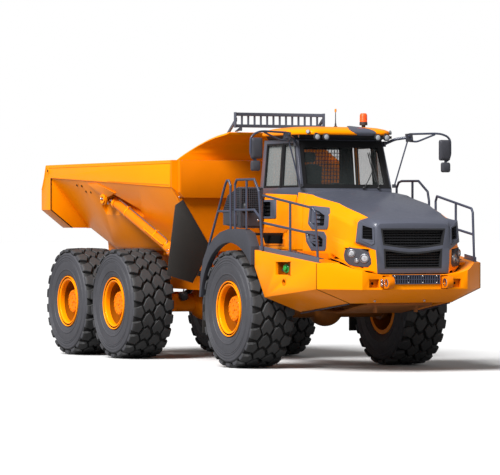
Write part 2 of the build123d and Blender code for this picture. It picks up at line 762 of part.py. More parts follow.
# ---- articulation head --------------------------------------------------
with BuildPart() as articulation_head:
    with BuildSketch(top(950)):
        with Locations((steer_x, 0)):
            Circle(150)
    extrude(amount=460)
    with BuildSketch(side(0)):
        Polygon((steer_x, 1010), (-2000, 1010), (-2000, 1350), (steer_x, 1350), align=None)
    extrude(amount=135, both=True)
    with BuildSketch(front(-2000)):
        with Locations((0, roll_z)):
            Circle(265)
    extrude(amount=-55)
    with BuildSketch(front(-2040)):
        with Locations((0, roll_z)):
            Circle(roll_radius)
    extrude(amount=-540)
    with BuildSketch(front(-2580)):
        with Locations((0, roll_z)):
            Circle(215)
    extrude(amount=-40)
    # lugs over the steering cylinder eyes
    with BuildSketch(top(steer_cyl_z + 48)):
        Polygon((-1960, -120), (-1890, -470), (-1850, -500), (-1770, -500), (-1740, -460),
                (-1640, -120), (-1640, 120), (-1740, 460), (-1770, 500), (-1850, 500),
                (-1890, 470), (-1960, 120), align=None)
    extrude(amount=40)
    with BuildSketch(top(900)):
        with Locations((steer_x, 0)):
            Circle(steer_pin_radius + 1)
    extrude(amount=560, mode=Mode.SUBTRACT)
save("articulation_head", articulation_head)

# ---- rear frame ---------------------------------------------------------
with BuildPart() as rear_frame:
    with BuildSketch(front(-2075)):
        with Locations((0, roll_z)):
            Circle(245)
    extrude(amount=-485)
    with BuildSketch(front(-2470)):
        Polygon(*mirrored([(500, 1520), (500, 1060), (300, 900)]), align=None)
    extrude(amount=-90)
    for hand in (1, -1):
        with BuildSketch(side(hand * 450)):
            Polygon((-2550, 1060), (-2900, 1140), (-7100, 1180), (-7100, 1520), (-2550, 1520),
                    align=None)
        extrude(amount=50, both=True)
        # hangers of the walking beam shaft
        with BuildSketch(side(hand * 450)):
            Polygon((-5180, 1200), (-5640, 1200), (-5500, 800), (-5320, 800), align=None)
        extrude(amount=50, both=True)
        # tipping cylinder outriggers with their pins
        with Locations(at(hoist_base[0], hand * 880, 1600)):
            Box(190, 780, 220)
        with BuildSketch(side(hand * 1255)):
            Polygon((hoist_base[0] - 95, 1500), (hoist_base[0] + 95, 1500),
                    (hoist_base[0] + 75, 1870), (hoist_base[0] - 75, 1870), align=None)
        extrude(amount=18, both=True)
        with BuildSketch(side(hand * 1270)):
            with Locations(hoist_base):
                Circle(40)
        extrude(amount=-hand * 175)
        # bed hinge pins
        with BuildSketch(side(hand * 495)):
            with Locations((tip_x, tip_z)):
                Circle(50)
            Polygon((tip_x - 110, 1500), (tip_x + 110, 1500), (tip_x + 50, tip_z + 60),
                    (tip_x - 50, tip_z + 60), align=None)
        extrude(amount=25, both=True)
        with BuildSketch(side(hand * 500)):
            with Locations((tip_x, tip_z)):
                Circle(50)
        extrude(amount=-hand * 160)
    for x in (-3500, -7020):
        with Locations(at(x, 0, 1360)):
            Box(120, 900, 240)
    for hand in (1, -1):
        with BuildSketch(side(hand * 630)):
            with Locations((-5413, axle_z)):
                Circle(88)
        extrude(amount=230, both=True)
    # rear cross plate with the lamp wings, and the tow hitch
    with BuildSketch(front(-7100)):
        Polygon(*mirrored([(515, 1500), (515, 1400), (820, 1400), (820, 1230), (500, 1180)]), align=None)
    extrude(amount=-40)
    with Locations(at(-7190, 0, 1290)):
        Box(120, 200, 60)
    with Locations(at(-7190, 0, 1180)):
        Box(120, 200, 60)
    with BuildSketch(top(1100)):
        with Locations((-7205, 0)):
            Circle(tow_pin_radius)
    extrude(amount=260, mode=Mode.SUBTRACT)
    with BuildSketch(front(-2075)):
        with Locations((0, roll_z)):
            Circle(roll_radius + 1.5)
    extrude(amount=-520, mode=Mode.SUBTRACT)
save("rear_frame", rear_frame)

with BuildPart() as walking_beams:
    for hand in (1, -1):
        with BuildSketch(side(hand * 715)):
            Polygon((middle_axle_x + 230, 790), (middle_axle_x + 230, 1040), (middle_axle_x - 200, 1110),
                    (-5413, 1090), (rear_axle_x + 200, 1110), (rear_axle_x - 230, 1040),
                    (rear_axle_x - 230, 790), (rear_axle_x + 200, 730), (-5413, 720),
                    (middle_axle_x - 200, 730), align=None)
            with Locations((middle_axle_x, axle_z), (rear_axle_x, axle_z)):
                Circle(150.5, mode=Mode.SUBTRACT)
            with Locations((-5413, axle_z)):
                Circle(88.5, mode=Mode.SUBTRACT)
        extrude(amount=75, both=True)
save("walking_beams", walking_beams)

# ---- bed ----------------------------------------------------------------
# station x, half outline of the outside: band top, band bottom, chine, keel
bed_outside = [
    (bed_front_x, (1600, 3280), (1600, 2845), (960, 1855), (900, 1800)),
    (-6050, (1600, 3280), (1600, 3005), (930, 1860), (880, 1800)),
    (-7250, (1600, 3280), (1600, 3055), (930, 2240), (880, 2180)),
    (-7420, (1600, 3280), (1600, 3060), (930, 2240), (880, 2180)),
]
# the load space
bed_inside = [
    (bed_front_x + 10, (1520, 3400), (1520, 2840), (890, 1862)),
    (-6050, (1520, 3400), (1522, 3000), (862, 1862)),
    (-7250, (1520, 3400), (1516, 3050), (848, 2240)),
    (bed_rear_x - 20, (1520, 3400), (1516, 3060), (850, 2245)),
]


def bed_loft(rows):
    with BuildPart() as body:
        for x, *half in rows:
            with BuildSketch(front(x)):
                Polygon(*mirrored(half), align=None)
        loft(ruled=True)
    return body.part


ex, ez = hoist_eye
with BuildPart() as bed_outer:
    add(bed_loft(bed_outside))

# channels that take the tipping cylinders into the sloping sides
with BuildPart() as channel_walls:
    for hand in (1, -1):
        with BuildSketch(side(hand * 1355)):
            Polygon((ex - 250, 2850), (ex + 200, 2850), (ex + 1180, 2520), (ex + 1180, 2340),
                    (ex - 465, 2340), (ex - 465, 2560), (ex - 385, 2690), align=None)
        extrude(amount=125, both=True)
    add(bed_outer.part, mode=Mode.INTERSECT)

with BuildPart() as bed_body:
    add(bed_outer.part)
    # tail frame: upright side plates joined under the lip
    with BuildSketch(front(-7350)):
        Polygon(*mirrored([(1600, 3280), (1600, 2500), (1190, 2185)]), align=None)
    extrude(amount=-420)
    with BuildSketch(side(0)):
        Polygon((-7570, 3290), (-7660, 3060), (-7770, 2850), (-7900, 2850), (-7900, 3290),
                align=None)
    extrude(amount=1700, both=True, mode=Mode.SUBTRACT)
    add(bed_loft(bed_inside), mode=Mode.SUBTRACT)
    add(channel_walls.part)
    for hand in (1, -1):
        with BuildSketch(side(hand * 1480)):
            Polygon((ex - 215, 2810), (ex + 190, 2810), (ex + 1140, 2490), (ex + 1140, 2200),
                    (ex - 428, 2200), (ex - 428, ez - 135), (ex - 355, ez - 30), (ex - 215, ez + 70),
                    align=None)
        extrude(amount=220, both=True, mode=Mode.SUBTRACT)
        # outer ear and pin boss
        with BuildSketch(side(hand * 1485)):
            Polygon((ex - 330, 3000), (ex + 230, 3000), (ex + 95, 2640), (ex + 60, ez - 95),
                    (ex - 60, ez - 95), (ex - 110, 2640), align=None)
        extrude(amount=18, both=True)
        with BuildSketch(side(hand * 1490)):
            with Locations((ex, ez)):
                Circle(72)
        extrude(amount=24, both=True)
        with BuildSketch(side(hand * 1485)):
            with Locations((ex, ez)):
                Circle(42)
        extrude(amount=60, both=True, mode=Mode.SUBTRACT)

with BuildPart() as bed_sides:
    add(bed_body.part)
    with BuildSketch(front(-9000)):
        Polygon(*mirrored([(905, 1000), (905, 4000)]), align=None)
    extrude(amount=8000, mode=Mode.SUBTRACT)
save("bed_sides", bed_sides)

with BuildPart() as bed_floor:
    add(bed_body.part)
    with BuildSketch(front(-9000)):
        Polygon(*mirrored([(904.5, 1000), (904.5, 4000)]), align=None)
    extrude(amount=8000, mode=Mode.INTERSECT)
    for hand in (1, -1):
        # runners over the frame rails
        with BuildSketch(side(hand * 450)):
            Polygon((-2900, 1532), (-6500, 1532), (-6500, 1830), (-2900, 1830), align=None)
        extrude(amount=45, both=True)
        # hinge ears
        with BuildSketch(side(hand * 585)):
            Polygon((-7150, 2200), (-6250, 1900), (-6250, 1810), (tip_x + 120, tip_z - 20),
                    (tip_x + 60, tip_z - 100), (tip_x - 60, tip_z - 100), (tip_x - 120, tip_z - 20),
                    align=None)
            with Locations((tip_x, tip_z)):
                Circle(51, mode=Mode.SUBTRACT)
        extrude(amount=35, both=True)
save("bed_floor", bed_floor)

with BuildPart() as bed_headboard:
    with BuildSketch(front(bed_front_x)):
        Polygon(*mirrored([(1500, 3280), (1500, 2760), (1440, 2680)]), align=None)
    extrude(amount=150)
    with BuildSketch(front(bed_front_x)):
        Polygon(*mirrored([(1600, 3282), (1600, 2845), (1540, 2770), (960, 1852), (900, 1800)]),
                align=None)
    extrude(amount=40)
save("bed_headboard", bed_headboard)

# canopy: side profile of the curved sheet
canopy_arc = [(-2335, 3284), (-2320, 3400), (-2260, 3500), (-2160, 3580), (-2020, 3635), (-1760, 3682)]
with BuildPart() as spill_guard:
    with BuildSketch(side(0)):
        Polygon(*(canopy_arc + [(-1730, 3720), (-1765, 3728), (-2040, 3678), (-2190, 3620),
                                (-2300, 3530), (-2365, 3410), (-2385, 3284)]), align=None)
    extrude(amount=1500, both=True)
    with BuildSketch(front(-2500)):
        Polygon(*mirrored([(1480, 3284), (1420, 3330), (815, 3735)]), align=None)
    extrude(amount=900, mode=Mode.INTERSECT)
save("spill_guard", spill_guard)

with BuildPart() as rock_guard:
    guard_x = -1600
    for low, high in ((3985, 4040), (3800, 3850)):
        with Locations(at(guard_x, 0, (low + high) / 2)):
            Box(30, 1620, high - low)
    for i in range(15):
        with Locations(at(guard_x, -794 + i * 1588 / 14, 3917)):
            Box(24, 28, 160)
    for hand in (1, -1):
        with Locations(at(guard_x, hand * 800, 3920)):
            Box(60, 22, 250)
        with Locations(at(guard_x, hand * 700, 3775)):
            Box(24, 36, 60)
        with BuildSketch(side(hand * 780)):
            Polygon((-1600, 3960), (-1600, 3900), (-1880, 3710), (-1960, 3696), align=None)
        extrude(amount=14, both=True)
        with BuildSketch(side(hand * 700)):
            Polygon((-1615, 3800), (-1585, 3800), (-1585, 3760), (-1780, 3733), (-1780, 3745),
                    align=None)
        extrude(amount=18, both=True)
save("rock_guard", rock_guard)

with BuildPart() as bed_flaps:
    for hand in (1, -1):
        with BuildSketch(front(bed_front_x + 42)):
            Polygon((hand * 1540, 2550), (hand * 1690, 1420), (hand * 1230, 1290),
                    (hand * 900, 1855), (hand * 1400, 2640), align=None)
        extrude(amount=16)
save("bed_flaps", bed_flaps)

# ---- cylinders ----------------------------------------------------------
hoist_run = (hoist_eye[0] - hoist_base[0], hoist_eye[1] - hoist_base[1])
hoist_length = hypot(*hoist_run)
steer_run = (steer_eye[0] - steer_base[0], steer_eye[1] - steer_base[1])
steer_length = hypot(*steer_run)


def ram(base, along, length, cross, radii, stretch, eye):
    """Barrel and rod: base point, direction, pin direction, radii of barrel,
    bore and rod, gland end, bore start and rod tail along the run, eye radius,
    width and pin radius."""
    barrel_radius, bore_radius, rod_radius = radii
    gland, start, tail = stretch
    eye_radius, eye_width, pin_radius = eye
    tip = base + along * length
    with BuildPart() as barrel:
        with BuildSketch(Plane(origin=base + along * (eye_radius * 0.6), z_dir=along)):
            Circle(barrel_radius)
        extrude(amount=gland - eye_radius * 0.6)
        with BuildSketch(Plane(origin=base + along * (gland - 90), z_dir=along)):
            Circle(barrel_radius + 7)
        extrude(amount=90)
        with BuildSketch(Plane(origin=base - cross * eye_width / 2, z_dir=cross)):
            Circle(eye_radius)
        extrude(amount=eye_width)
        with BuildSketch(Plane(origin=base + along * start, z_dir=along)):
            Circle(bore_radius)
        extrude(amount=gland - 90 - start, mode=Mode.SUBTRACT)
        with BuildSketch(Plane(origin=base + along * (gland - 100), z_dir=along)):
            Circle(rod_radius + 1)
        extrude(amount=110, mode=Mode.SUBTRACT)
        with BuildSketch(Plane(origin=base - cross * eye_width, z_dir=cross)):
            Circle(pin_radius + 1)
        extrude(amount=eye_width * 2, mode=Mode.SUBTRACT)
    with BuildPart() as rod:
        with BuildSketch(Plane(origin=base + along * tail, z_dir=along)):
            Circle(rod_radius)
        extrude(amount=length - tail - eye_radius * 0.5)
        with BuildSketch(Plane(origin=tip - cross * eye_width / 2, z_dir=cross)):
            Circle(eye_radius)
        extrude(amount=eye_width)
        with BuildSketch(Plane(origin=tip - cross * eye_width, z_dir=cross)):
            Circle(pin_radius)
        extrude(amount=eye_width * 2, mode=Mode.SUBTRACT)
    return barrel, rod


for hand_name, hand in (("left", 1), ("right", -1)):
    along = Vector(hoist_run[0], 0, hoist_run[1]) / hoist_length
    barrel, rod = ram(
        at(hoist_base[0], hand * hoist_y, hoist_base[1]), along, hoist_length,
        Vector(0, 1, 0), (hoist_barrel_radius, 62, hoist_rod_radius), (2470, 110, 150),
        (92, 130, 40),
    )
    save(f"hoist_barrel_{hand_name}", barrel)
    save(f"hoist_rod_{hand_name}", rod)
    along = Vector(steer_run[0], hand * steer_run[1], 0) / steer_length
    barrel, rod = ram(
        at(steer_base[0], hand * steer_base[1], steer_cyl_z), along, steer_length,
        Vector(0, 0, 1), (steer_barrel_radius, 38, steer_rod_radius), (930, 80, 430),
        (52, 70, 26),
    )
    save(f"steer_barrel_{hand_name}", barrel)
    save(f"steer_rod_{hand_name}", rod)
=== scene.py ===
"""Looks of the articulated dump truck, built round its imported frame. Metres, +X
forward, +Y left, +Z up. P() takes points measured from the front axle."""

import json
import math
import random

import bmesh
import bpy
from mathutils import Matrix, Vector


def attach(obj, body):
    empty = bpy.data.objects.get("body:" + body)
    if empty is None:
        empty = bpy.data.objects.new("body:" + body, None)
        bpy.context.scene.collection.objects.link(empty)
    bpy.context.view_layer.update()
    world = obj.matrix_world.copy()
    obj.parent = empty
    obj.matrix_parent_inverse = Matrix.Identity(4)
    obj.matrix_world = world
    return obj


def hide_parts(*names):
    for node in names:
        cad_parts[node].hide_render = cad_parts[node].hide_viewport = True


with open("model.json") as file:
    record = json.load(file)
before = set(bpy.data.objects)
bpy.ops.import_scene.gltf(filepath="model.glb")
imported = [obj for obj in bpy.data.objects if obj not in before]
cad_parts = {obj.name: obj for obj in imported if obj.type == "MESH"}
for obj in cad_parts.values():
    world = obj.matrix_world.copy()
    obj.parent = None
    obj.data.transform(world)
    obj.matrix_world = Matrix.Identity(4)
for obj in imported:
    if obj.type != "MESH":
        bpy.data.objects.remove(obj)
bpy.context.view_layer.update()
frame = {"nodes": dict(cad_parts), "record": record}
nodes = frame["nodes"]
body_of_node = {n: b for b, ns in frame["record"]["behaviour"]["bodies"].items() for n in ns}
random.seed(7)

FX = 2.3065  # front axle ahead of the origin
AXLE_Z, TRACK = 0.920, 1.345
MIDDLE_X, REAR_X = -4.438, -6.388


def P(x, y, z):
    return Vector((FX + x, y, z))


# half outlines of the hood and cowl skin: station x, then (y, z) upwards
HOOD_ROWS = [
    (-0.780, (0.905, 1.840), (0.905, 1.900), (0.905, 2.150), (0.902, 2.600), (0.868, 2.735)),
    (0.740, (0.905, 1.705), (0.905, 1.900), (0.905, 2.150), (0.900, 2.580), (0.856, 2.735)),
    (1.200, (0.905, 1.695), (0.905, 1.900), (0.905, 2.120), (0.893, 2.480), (0.820, 2.688)),
    (1.950, (0.920, 1.695), (0.915, 1.900), (0.905, 2.060), (0.880, 2.370), (0.762, 2.553)),
    (2.480, (0.985, 1.695), (0.968, 1.905), (0.915, 1.985), (0.858, 2.240), (0.702, 2.405)),
    (2.640, (0.925, 1.625), (0.912, 1.900), (0.893, 1.975), (0.846, 2.275), (0.675, 2.355)),
    (2.762, (0.775, 1.545), (0.768, 1.895), (0.868, 1.969), (0.836, 2.296), (0.655, 2.317)),
    (2.890, (0.618, 1.500), (0.620, 1.893), (0.612, 1.965), (0.606, 2.215), (0.560, 2.245)),
]


def skin_y(x, z):
    """Half width of the hood skin at (x, z)."""
    x = min(max(x, HOOD_ROWS[0][0]), HOOD_ROWS[-1][0])
    for low, high in zip(HOOD_ROWS[:-1], HOOD_ROWS[1:]):
        if x <= high[0]:
            break
    t = (x - low[0]) / (high[0] - low[0])
    rows = [(a[0] + (b[0] - a[0]) * t, a[1] + (b[1] - a[1]) * t) for a, b in zip(low[1:], high[1:])]
    if z <= rows[0][1]:
        return rows[0][0]
    for (y0, z0), (y1, z1) in zip(rows[:-1], rows[1:]):
        if z <= z1:
            return y0 + (y1 - y0) * (z - z0) / (z1 - z0)
    return rows[-1][0]


# ---- materials ----------------------------------------------------------
def new_material(name):
    mat = bpy.data.materials.new(name)
    mat.use_nodes = True
    tree = mat.node_tree
    bsdf = next(n for n in tree.nodes if n.type == "BSDF_PRINCIPLED")
    return mat, tree, bsdf


def node(tree, kind, **values):
    n = tree.nodes.new(kind)
    for key, value in values.items():
        if key in n.inputs:
            n.inputs[key].default_value = value
        else:
            setattr(n, key, value)
    return n


def noise(tree, coords, scale, detail=3.0, roughness=0.55):
    n = node(tree, "ShaderNodeTexNoise")
    n.inputs["Scale"].default_value = scale
    n.inputs["Detail"].default_value = detail
    n.inputs["Roughness"].default_value = roughness
    tree.links.new(coords, n.inputs["Vector"])
    return n.outputs["Fac"]


def ramp(tree, fac, low, high, a, b):
    """Maps fac from low..high to a..b."""
    m = node(tree, "ShaderNodeMapRange")
    for key, value in (("From Min", low), ("From Max", high), ("To Min", a), ("To Max", b)):
        m.inputs[key].default_value = value
    tree.links.new(fac, m.inputs["Value"])
    return m.outputs["Result"]


def mix_colour(tree, fac, a, b):
    m = node(tree, "ShaderNodeMix", data_type="RGBA")
    colours = [s for s in m.inputs if s.type == "RGBA"]
    for socket, value in zip(colours, (a, b)):
        if isinstance(value, tuple):
            socket.default_value = (*value, 1.0)
        else:
            tree.links.new(value, socket)
    if isinstance(fac, float):
        m.inputs["Factor"].default_value = fac
    else:
        tree.links.new(fac, m.inputs["Factor"])
    return next(s for s in m.outputs if s.type == "RGBA")


def bump(tree, height, strength, distance, after=None):
    b = node(tree, "ShaderNodeBump")
    b.inputs["Strength"].default_value = strength
    b.inputs["Distance"].default_value = distance
    tree.links.new(height, b.inputs["Height"])
    if after is not None:
        tree.links.new(after, b.inputs["Normal"])
    return b.outputs["Normal"]


def object_coords(tree):
    return node(tree, "ShaderNodeTexCoord").outputs["Object"]


def surface(name, colour, rough, metal=0.0, coat=0.0, coat_rough=0.08, vary=0.08, patch=1.3,
            grain=300.0, grain_depth=0.0002, dust=0.0, dust_colour=(0.16, 0.13, 0.10), wave=0.0,
            specular=0.5, tint=None):
    """Paint, plastic or rubber: broad colour drift, fine grain, uneven gloss, dust on ledges."""
    mat, tree, bsdf = new_material(name)
    coords = object_coords(tree)
    drift = noise(tree, coords, patch, 4.0)
    dark = tuple(c * (1 - vary) for c in colour)
    light = tuple(min(1.0, c * (1 + vary)) for c in colour)
    base = mix_colour(tree, ramp(tree, drift, 0.3, 0.7, 0.0, 1.0), dark, light)
    speck = noise(tree, coords, patch * 14, 5.0, 0.7)
    gloss = ramp(tree, speck, 0.3, 0.75, max(0.03, rough - 0.05), min(1.0, rough + 0.07))
    if dust:
        geo = node(tree, "ShaderNodeNewGeometry")
        up = node(tree, "ShaderNodeSeparateXYZ")
        tree.links.new(geo.outputs["Normal"], up.inputs["Vector"])
        facing = ramp(tree, up.outputs["Z"], 0.2, 1.0, 0.0, 1.0)
        patchy = ramp(tree, noise(tree, coords, 7.0, 6.0, 0.7), 0.42, 0.75, 0.15, 1.0)
        both = node(tree, "ShaderNodeMath", operation="MULTIPLY")
        tree.links.new(facing, both.inputs[0])
        tree.links.new(patchy, both.inputs[1])
        amount = node(tree, "ShaderNodeMath", operation="MULTIPLY")
        tree.links.new(both.outputs[0], amount.inputs[0])
        amount.inputs[1].default_value = dust
        base = mix_colour(tree, amount.outputs[0], base, dust_colour)
    tree.links.new(base, bsdf.inputs["Base Color"])
    tree.links.new(gloss, bsdf.inputs["Roughness"])
    bsdf.inputs["Metallic"].default_value = metal
    bsdf.inputs["Coat Weight"].default_value = coat
    bsdf.inputs["Coat Roughness"].default_value = coat_rough
    bsdf.inputs["Specular IOR Level"].default_value = specular
    if tint:
        bsdf.inputs["Specular Tint"].default_value = (*tint, 1.0)
    normal = bump(tree, noise(tree, coords, grain, 2.0), 0.35, grain_depth)
    if wave:
        normal = bump(tree, noise(tree, coords, 2.2, 2.0), 0.5, wave, normal)
    tree.links.new(normal, bsdf.inputs["Normal"])
    return mat


YELLOW = surface("yellow_paint", (0.92, 0.250, 0.0010), 0.32, coat=0.02, vary=0.035, patch=0.7,
                 grain=260, grain_depth=0.00012, wave=0.0022, specular=0.26, tint=(1.0, 0.50, 0.03))
# Painted shade: a darker copy of the yellow paint for parts that sit in shade, such as the frames, axles, beams,
# cylinders, headboard, hubs and recesses; light dust on upward faces.
YELLOW_SHADED = surface("yellow_paint_shaded", (0.66, 0.155, 0.0012), 0.42, coat=0.03, vary=0.08, patch=1.4,
                      grain=240, grain_depth=0.0003, dust=0.08, specular=0.4, tint=(1.0, 0.45, 0.03))
# Painted shade: a dark brown yellow for the inside of the rim's dish and the walls of the service box recess.
RIM_SHADE = surface("yellow_rim_painted_shade", (0.25, 0.060, 0.0020), 0.38, coat=0.03, vary=0.10, patch=2.5,
                   grain=240, grain_depth=0.0003, specular=0.5, tint=(1.0, 0.45, 0.03))
# Painted shade: a dark brown copy of the frame yellow for what hangs low under the front unit, with dust on upward
# faces.
FRAME_SHADE_AND_DUST = surface("yellow_frame_painted_shade_and_dust", (0.20, 0.060, 0.0060), 0.60, vary=0.22, patch=1.8,
                     grain=200, grain_depth=0.0004, dust=0.20, specular=0.3)
SLATE = surface("slate_paint", (0.072, 0.077, 0.102), 0.34, coat=0.22, vary=0.06, patch=1.1,
                grain=280, grain_depth=0.00015, wave=0.0018, specular=0.35)
SLATE_ROUGH = surface("slate_moulded", (0.040, 0.041, 0.050), 0.55, vary=0.08, patch=1.6,
                      grain=190, grain_depth=0.0005, dust=0.05, specular=0.3)
RAIL = surface("slate_tube", (0.040, 0.046, 0.072), 0.38, coat=0.15, vary=0.08, patch=3.0, specular=0.35)
DARK = surface("dark_casting", (0.022, 0.021, 0.022), 0.55, vary=0.15, patch=3.0, grain=120,
               grain_depth=0.0008, dust=0.10)
RUBBER = surface("rubber_sheet", (0.016, 0.013, 0.011), 0.62, vary=0.12, patch=2.5, grain=150,
                 grain_depth=0.0006, dust=0.03)
PLASTIC = surface("black_plastic", (0.014, 0.014, 0.016), 0.48, vary=0.10, patch=5.0, grain=420,
                  grain_depth=0.0004)
# Flat black: painted shade where it fills holes, hollows and gaps, and the dark joint lines of seams.
VOID = surface("deep_black", (0.004, 0.004, 0.004), 0.8, vary=0.1, specular=0.1)
STEEL = surface("bright_steel", (0.62, 0.62, 0.63), 0.22, metal=1.0, vary=0.05, patch=9.0,
                grain=500, grain_depth=0.0001)
CHROME = surface("rod_chrome", (0.78, 0.78, 0.80), 0.10, metal=1.0, vary=0.03, patch=5.0)
LENS_ORANGE = surface("beacon_lens", (0.95, 0.10, 0.004), 0.42, coat=0.0, vary=0.05, patch=20.0)
LENS_AMBER = surface("amber_lens", (0.90, 0.24, 0.004), 0.20, coat=0.5, vary=0.06, patch=25.0)
RING = surface("lamp_ring", (0.22, 0.23, 0.25), 0.34, metal=0.5, coat=0.1, vary=0.06, patch=30.0)
LENS_WHITE = surface("white_lens", (0.32, 0.33, 0.35), 0.30, coat=0.2, vary=0.03, patch=30.0)
INNER = surface("inner_black", (0.008, 0.008, 0.009), 0.60, vary=0.15, patch=4.0, specular=0.25)
GREEN = surface("green_cap", (0.004, 0.22, 0.03), 0.35, coat=0.3, vary=0.15, patch=30.0)
RED = surface("red_lens", (0.50, 0.008, 0.008), 0.18, coat=0.5, vary=0.1, patch=25.0)


def tyre_material(name, colour, dust):
    mat, tree, bsdf = new_material(name)
    coords = object_coords(tree)
    drift = ramp(tree, noise(tree, coords, 2.4, 5.0, 0.65), 0.3, 0.7, 0.0, 1.0)
    base = mix_colour(tree, drift, tuple(c * 0.86 for c in colour), tuple(c * 1.14 for c in colour))
    scuff = ramp(tree, noise(tree, coords, 11.0, 8.0, 0.75), 0.55, 0.8, 0.0, dust)
    base = mix_colour(tree, scuff, base, (0.13, 0.125, 0.12))
    tree.links.new(base, bsdf.inputs["Base Color"])
    tree.links.new(ramp(tree, noise(tree, coords, 16.0, 4.0), 0.3, 0.7, 0.58, 0.76),
                   bsdf.inputs["Roughness"])
    bsdf.inputs["Specular IOR Level"].default_value = 0.4
    fine = bump(tree, noise(tree, coords, 140.0, 4.0, 0.6), 0.5, 0.0012)
    tree.links.new(fine, bsdf.inputs["Normal"])
    return mat


SIDEWALL = tyre_material("tyre_sidewall", (0.043, 0.043, 0.050), 0.16)
TREAD = tyre_material("tyre_tread", (0.031, 0.031, 0.032), 0.05)
# Painted shade: the groove floors are far darker than the tread rubber.
GROOVE_SHADE = tyre_material("tyre_groove_painted_shade", (0.0035, 0.0033, 0.0033), 0.01)


def glass_material(name, tint, alpha, rough=0.04):
    mat, tree, bsdf = new_material(name)
    coords = object_coords(tree)
    base = mix_colour(tree, noise(tree, coords, 1.5, 2.0), tuple(c * 0.9 for c in tint), tint)
    tree.links.new(base, bsdf.inputs["Base Color"])
    bsdf.inputs["Roughness"].default_value = rough
    bsdf.inputs["Alpha"].default_value = alpha
    bsdf.inputs["Specular IOR Level"].default_value = 0.6
    bsdf.inputs["Coat Weight"].default_value = 0.3
    tree.links.new(bump(tree, noise(tree, coords, 3.0, 1.0), 0.2, 0.0006), bsdf.inputs["Normal"])
    mat.surface_render_method = "BLENDED"
    return mat


GLASS = glass_material("window_glass", (0.05, 0.06, 0.06), 0.22)
# Painted reflection: the side panes are a pale grey-white that stands in for the bright surroundings reflected in them.
GLASS_PAINTED_REFLECTION = glass_material("side_window_painted_reflection", (0.50, 0.52, 0.51), 0.42)
LAMP_GLASS = glass_material("lamp_glass", (0.80, 0.84, 0.88), 0.35)
REFLECTOR = surface("lamp_reflector", (0.90, 0.90, 0.92), 0.12, metal=0.9, vary=0.03, patch=30.0)
MIRROR = surface("mirror_glass", (0.75, 0.78, 0.80), 0.03, metal=1.0, vary=0.02, patch=5.0)
SEAT = surface("seat_fabric", (0.020, 0.021, 0.024), 0.9, vary=0.15, patch=12.0, grain=700,
               grain_depth=0.0008, specular=0.2)


# ---- mesh code ----------------------------------------------------------
def inset(points, distance):
    """Flat outline moved inwards by distance."""
    points = [Vector(p) for p in points]
    normal = Vector((0, 0, 0))
    for a, b in zip(points, points[1:] + points[:1]):
        normal += a.cross(b)
    normal.normalize()
    out = []
    for a, b, c in zip(points[-1:] + points[:-1], points, points[1:] + points[:1]):
        m = normal.cross(b - a).normalized()
        n = normal.cross(c - b).normalized()
        out.append(b + (m + n) * (distance / (1 + m.dot(n))))
    return out


def round_corners(points, radius, steps=3):
    """Closed flat outline with rounded corners, an equal count of points at each."""
    points = [Vector(p) for p in points]
    out = []
    for a, b, c in zip(points[-1:] + points[:-1], points, points[1:] + points[:1]):
        u, v = a - b, c - b
        reach = min(radius, 0.45 * u.length, 0.45 * v.length)
        p, q = b + u.normalized() * reach, b + v.normalized() * reach
        for i in range(steps + 1):
            t = i / steps
            out.append(p * (1 - t) ** 2 + b * (2 * t * (1 - t)) + q * t * t)
    return out


def on_skin(points, proud, hand=-1):
    """(x, z) points laid on the hood skin of one side, moved out by proud."""
    return [P(x, hand * (skin_y(x, z) + proud), z) for x, z in points]


def rounded(points, radius, steps=5):
    """A rigid tube's line with bent corners."""
    points = [Vector(p) for p in points]
    out = [points[0]]
    for a, b, c in zip(points[:-2], points[1:-1], points[2:]):
        u, v = a - b, c - b
        reach = min(radius, 0.45 * u.length, 0.45 * v.length)
        p, q = b + u.normalized() * reach, b + v.normalized() * reach
        for i in range(steps + 1):
            t = i / steps
            out.append(p * (1 - t) ** 2 + b * (2 * t * (1 - t)) + q * t * t)
    out.append(points[-1])
    return out


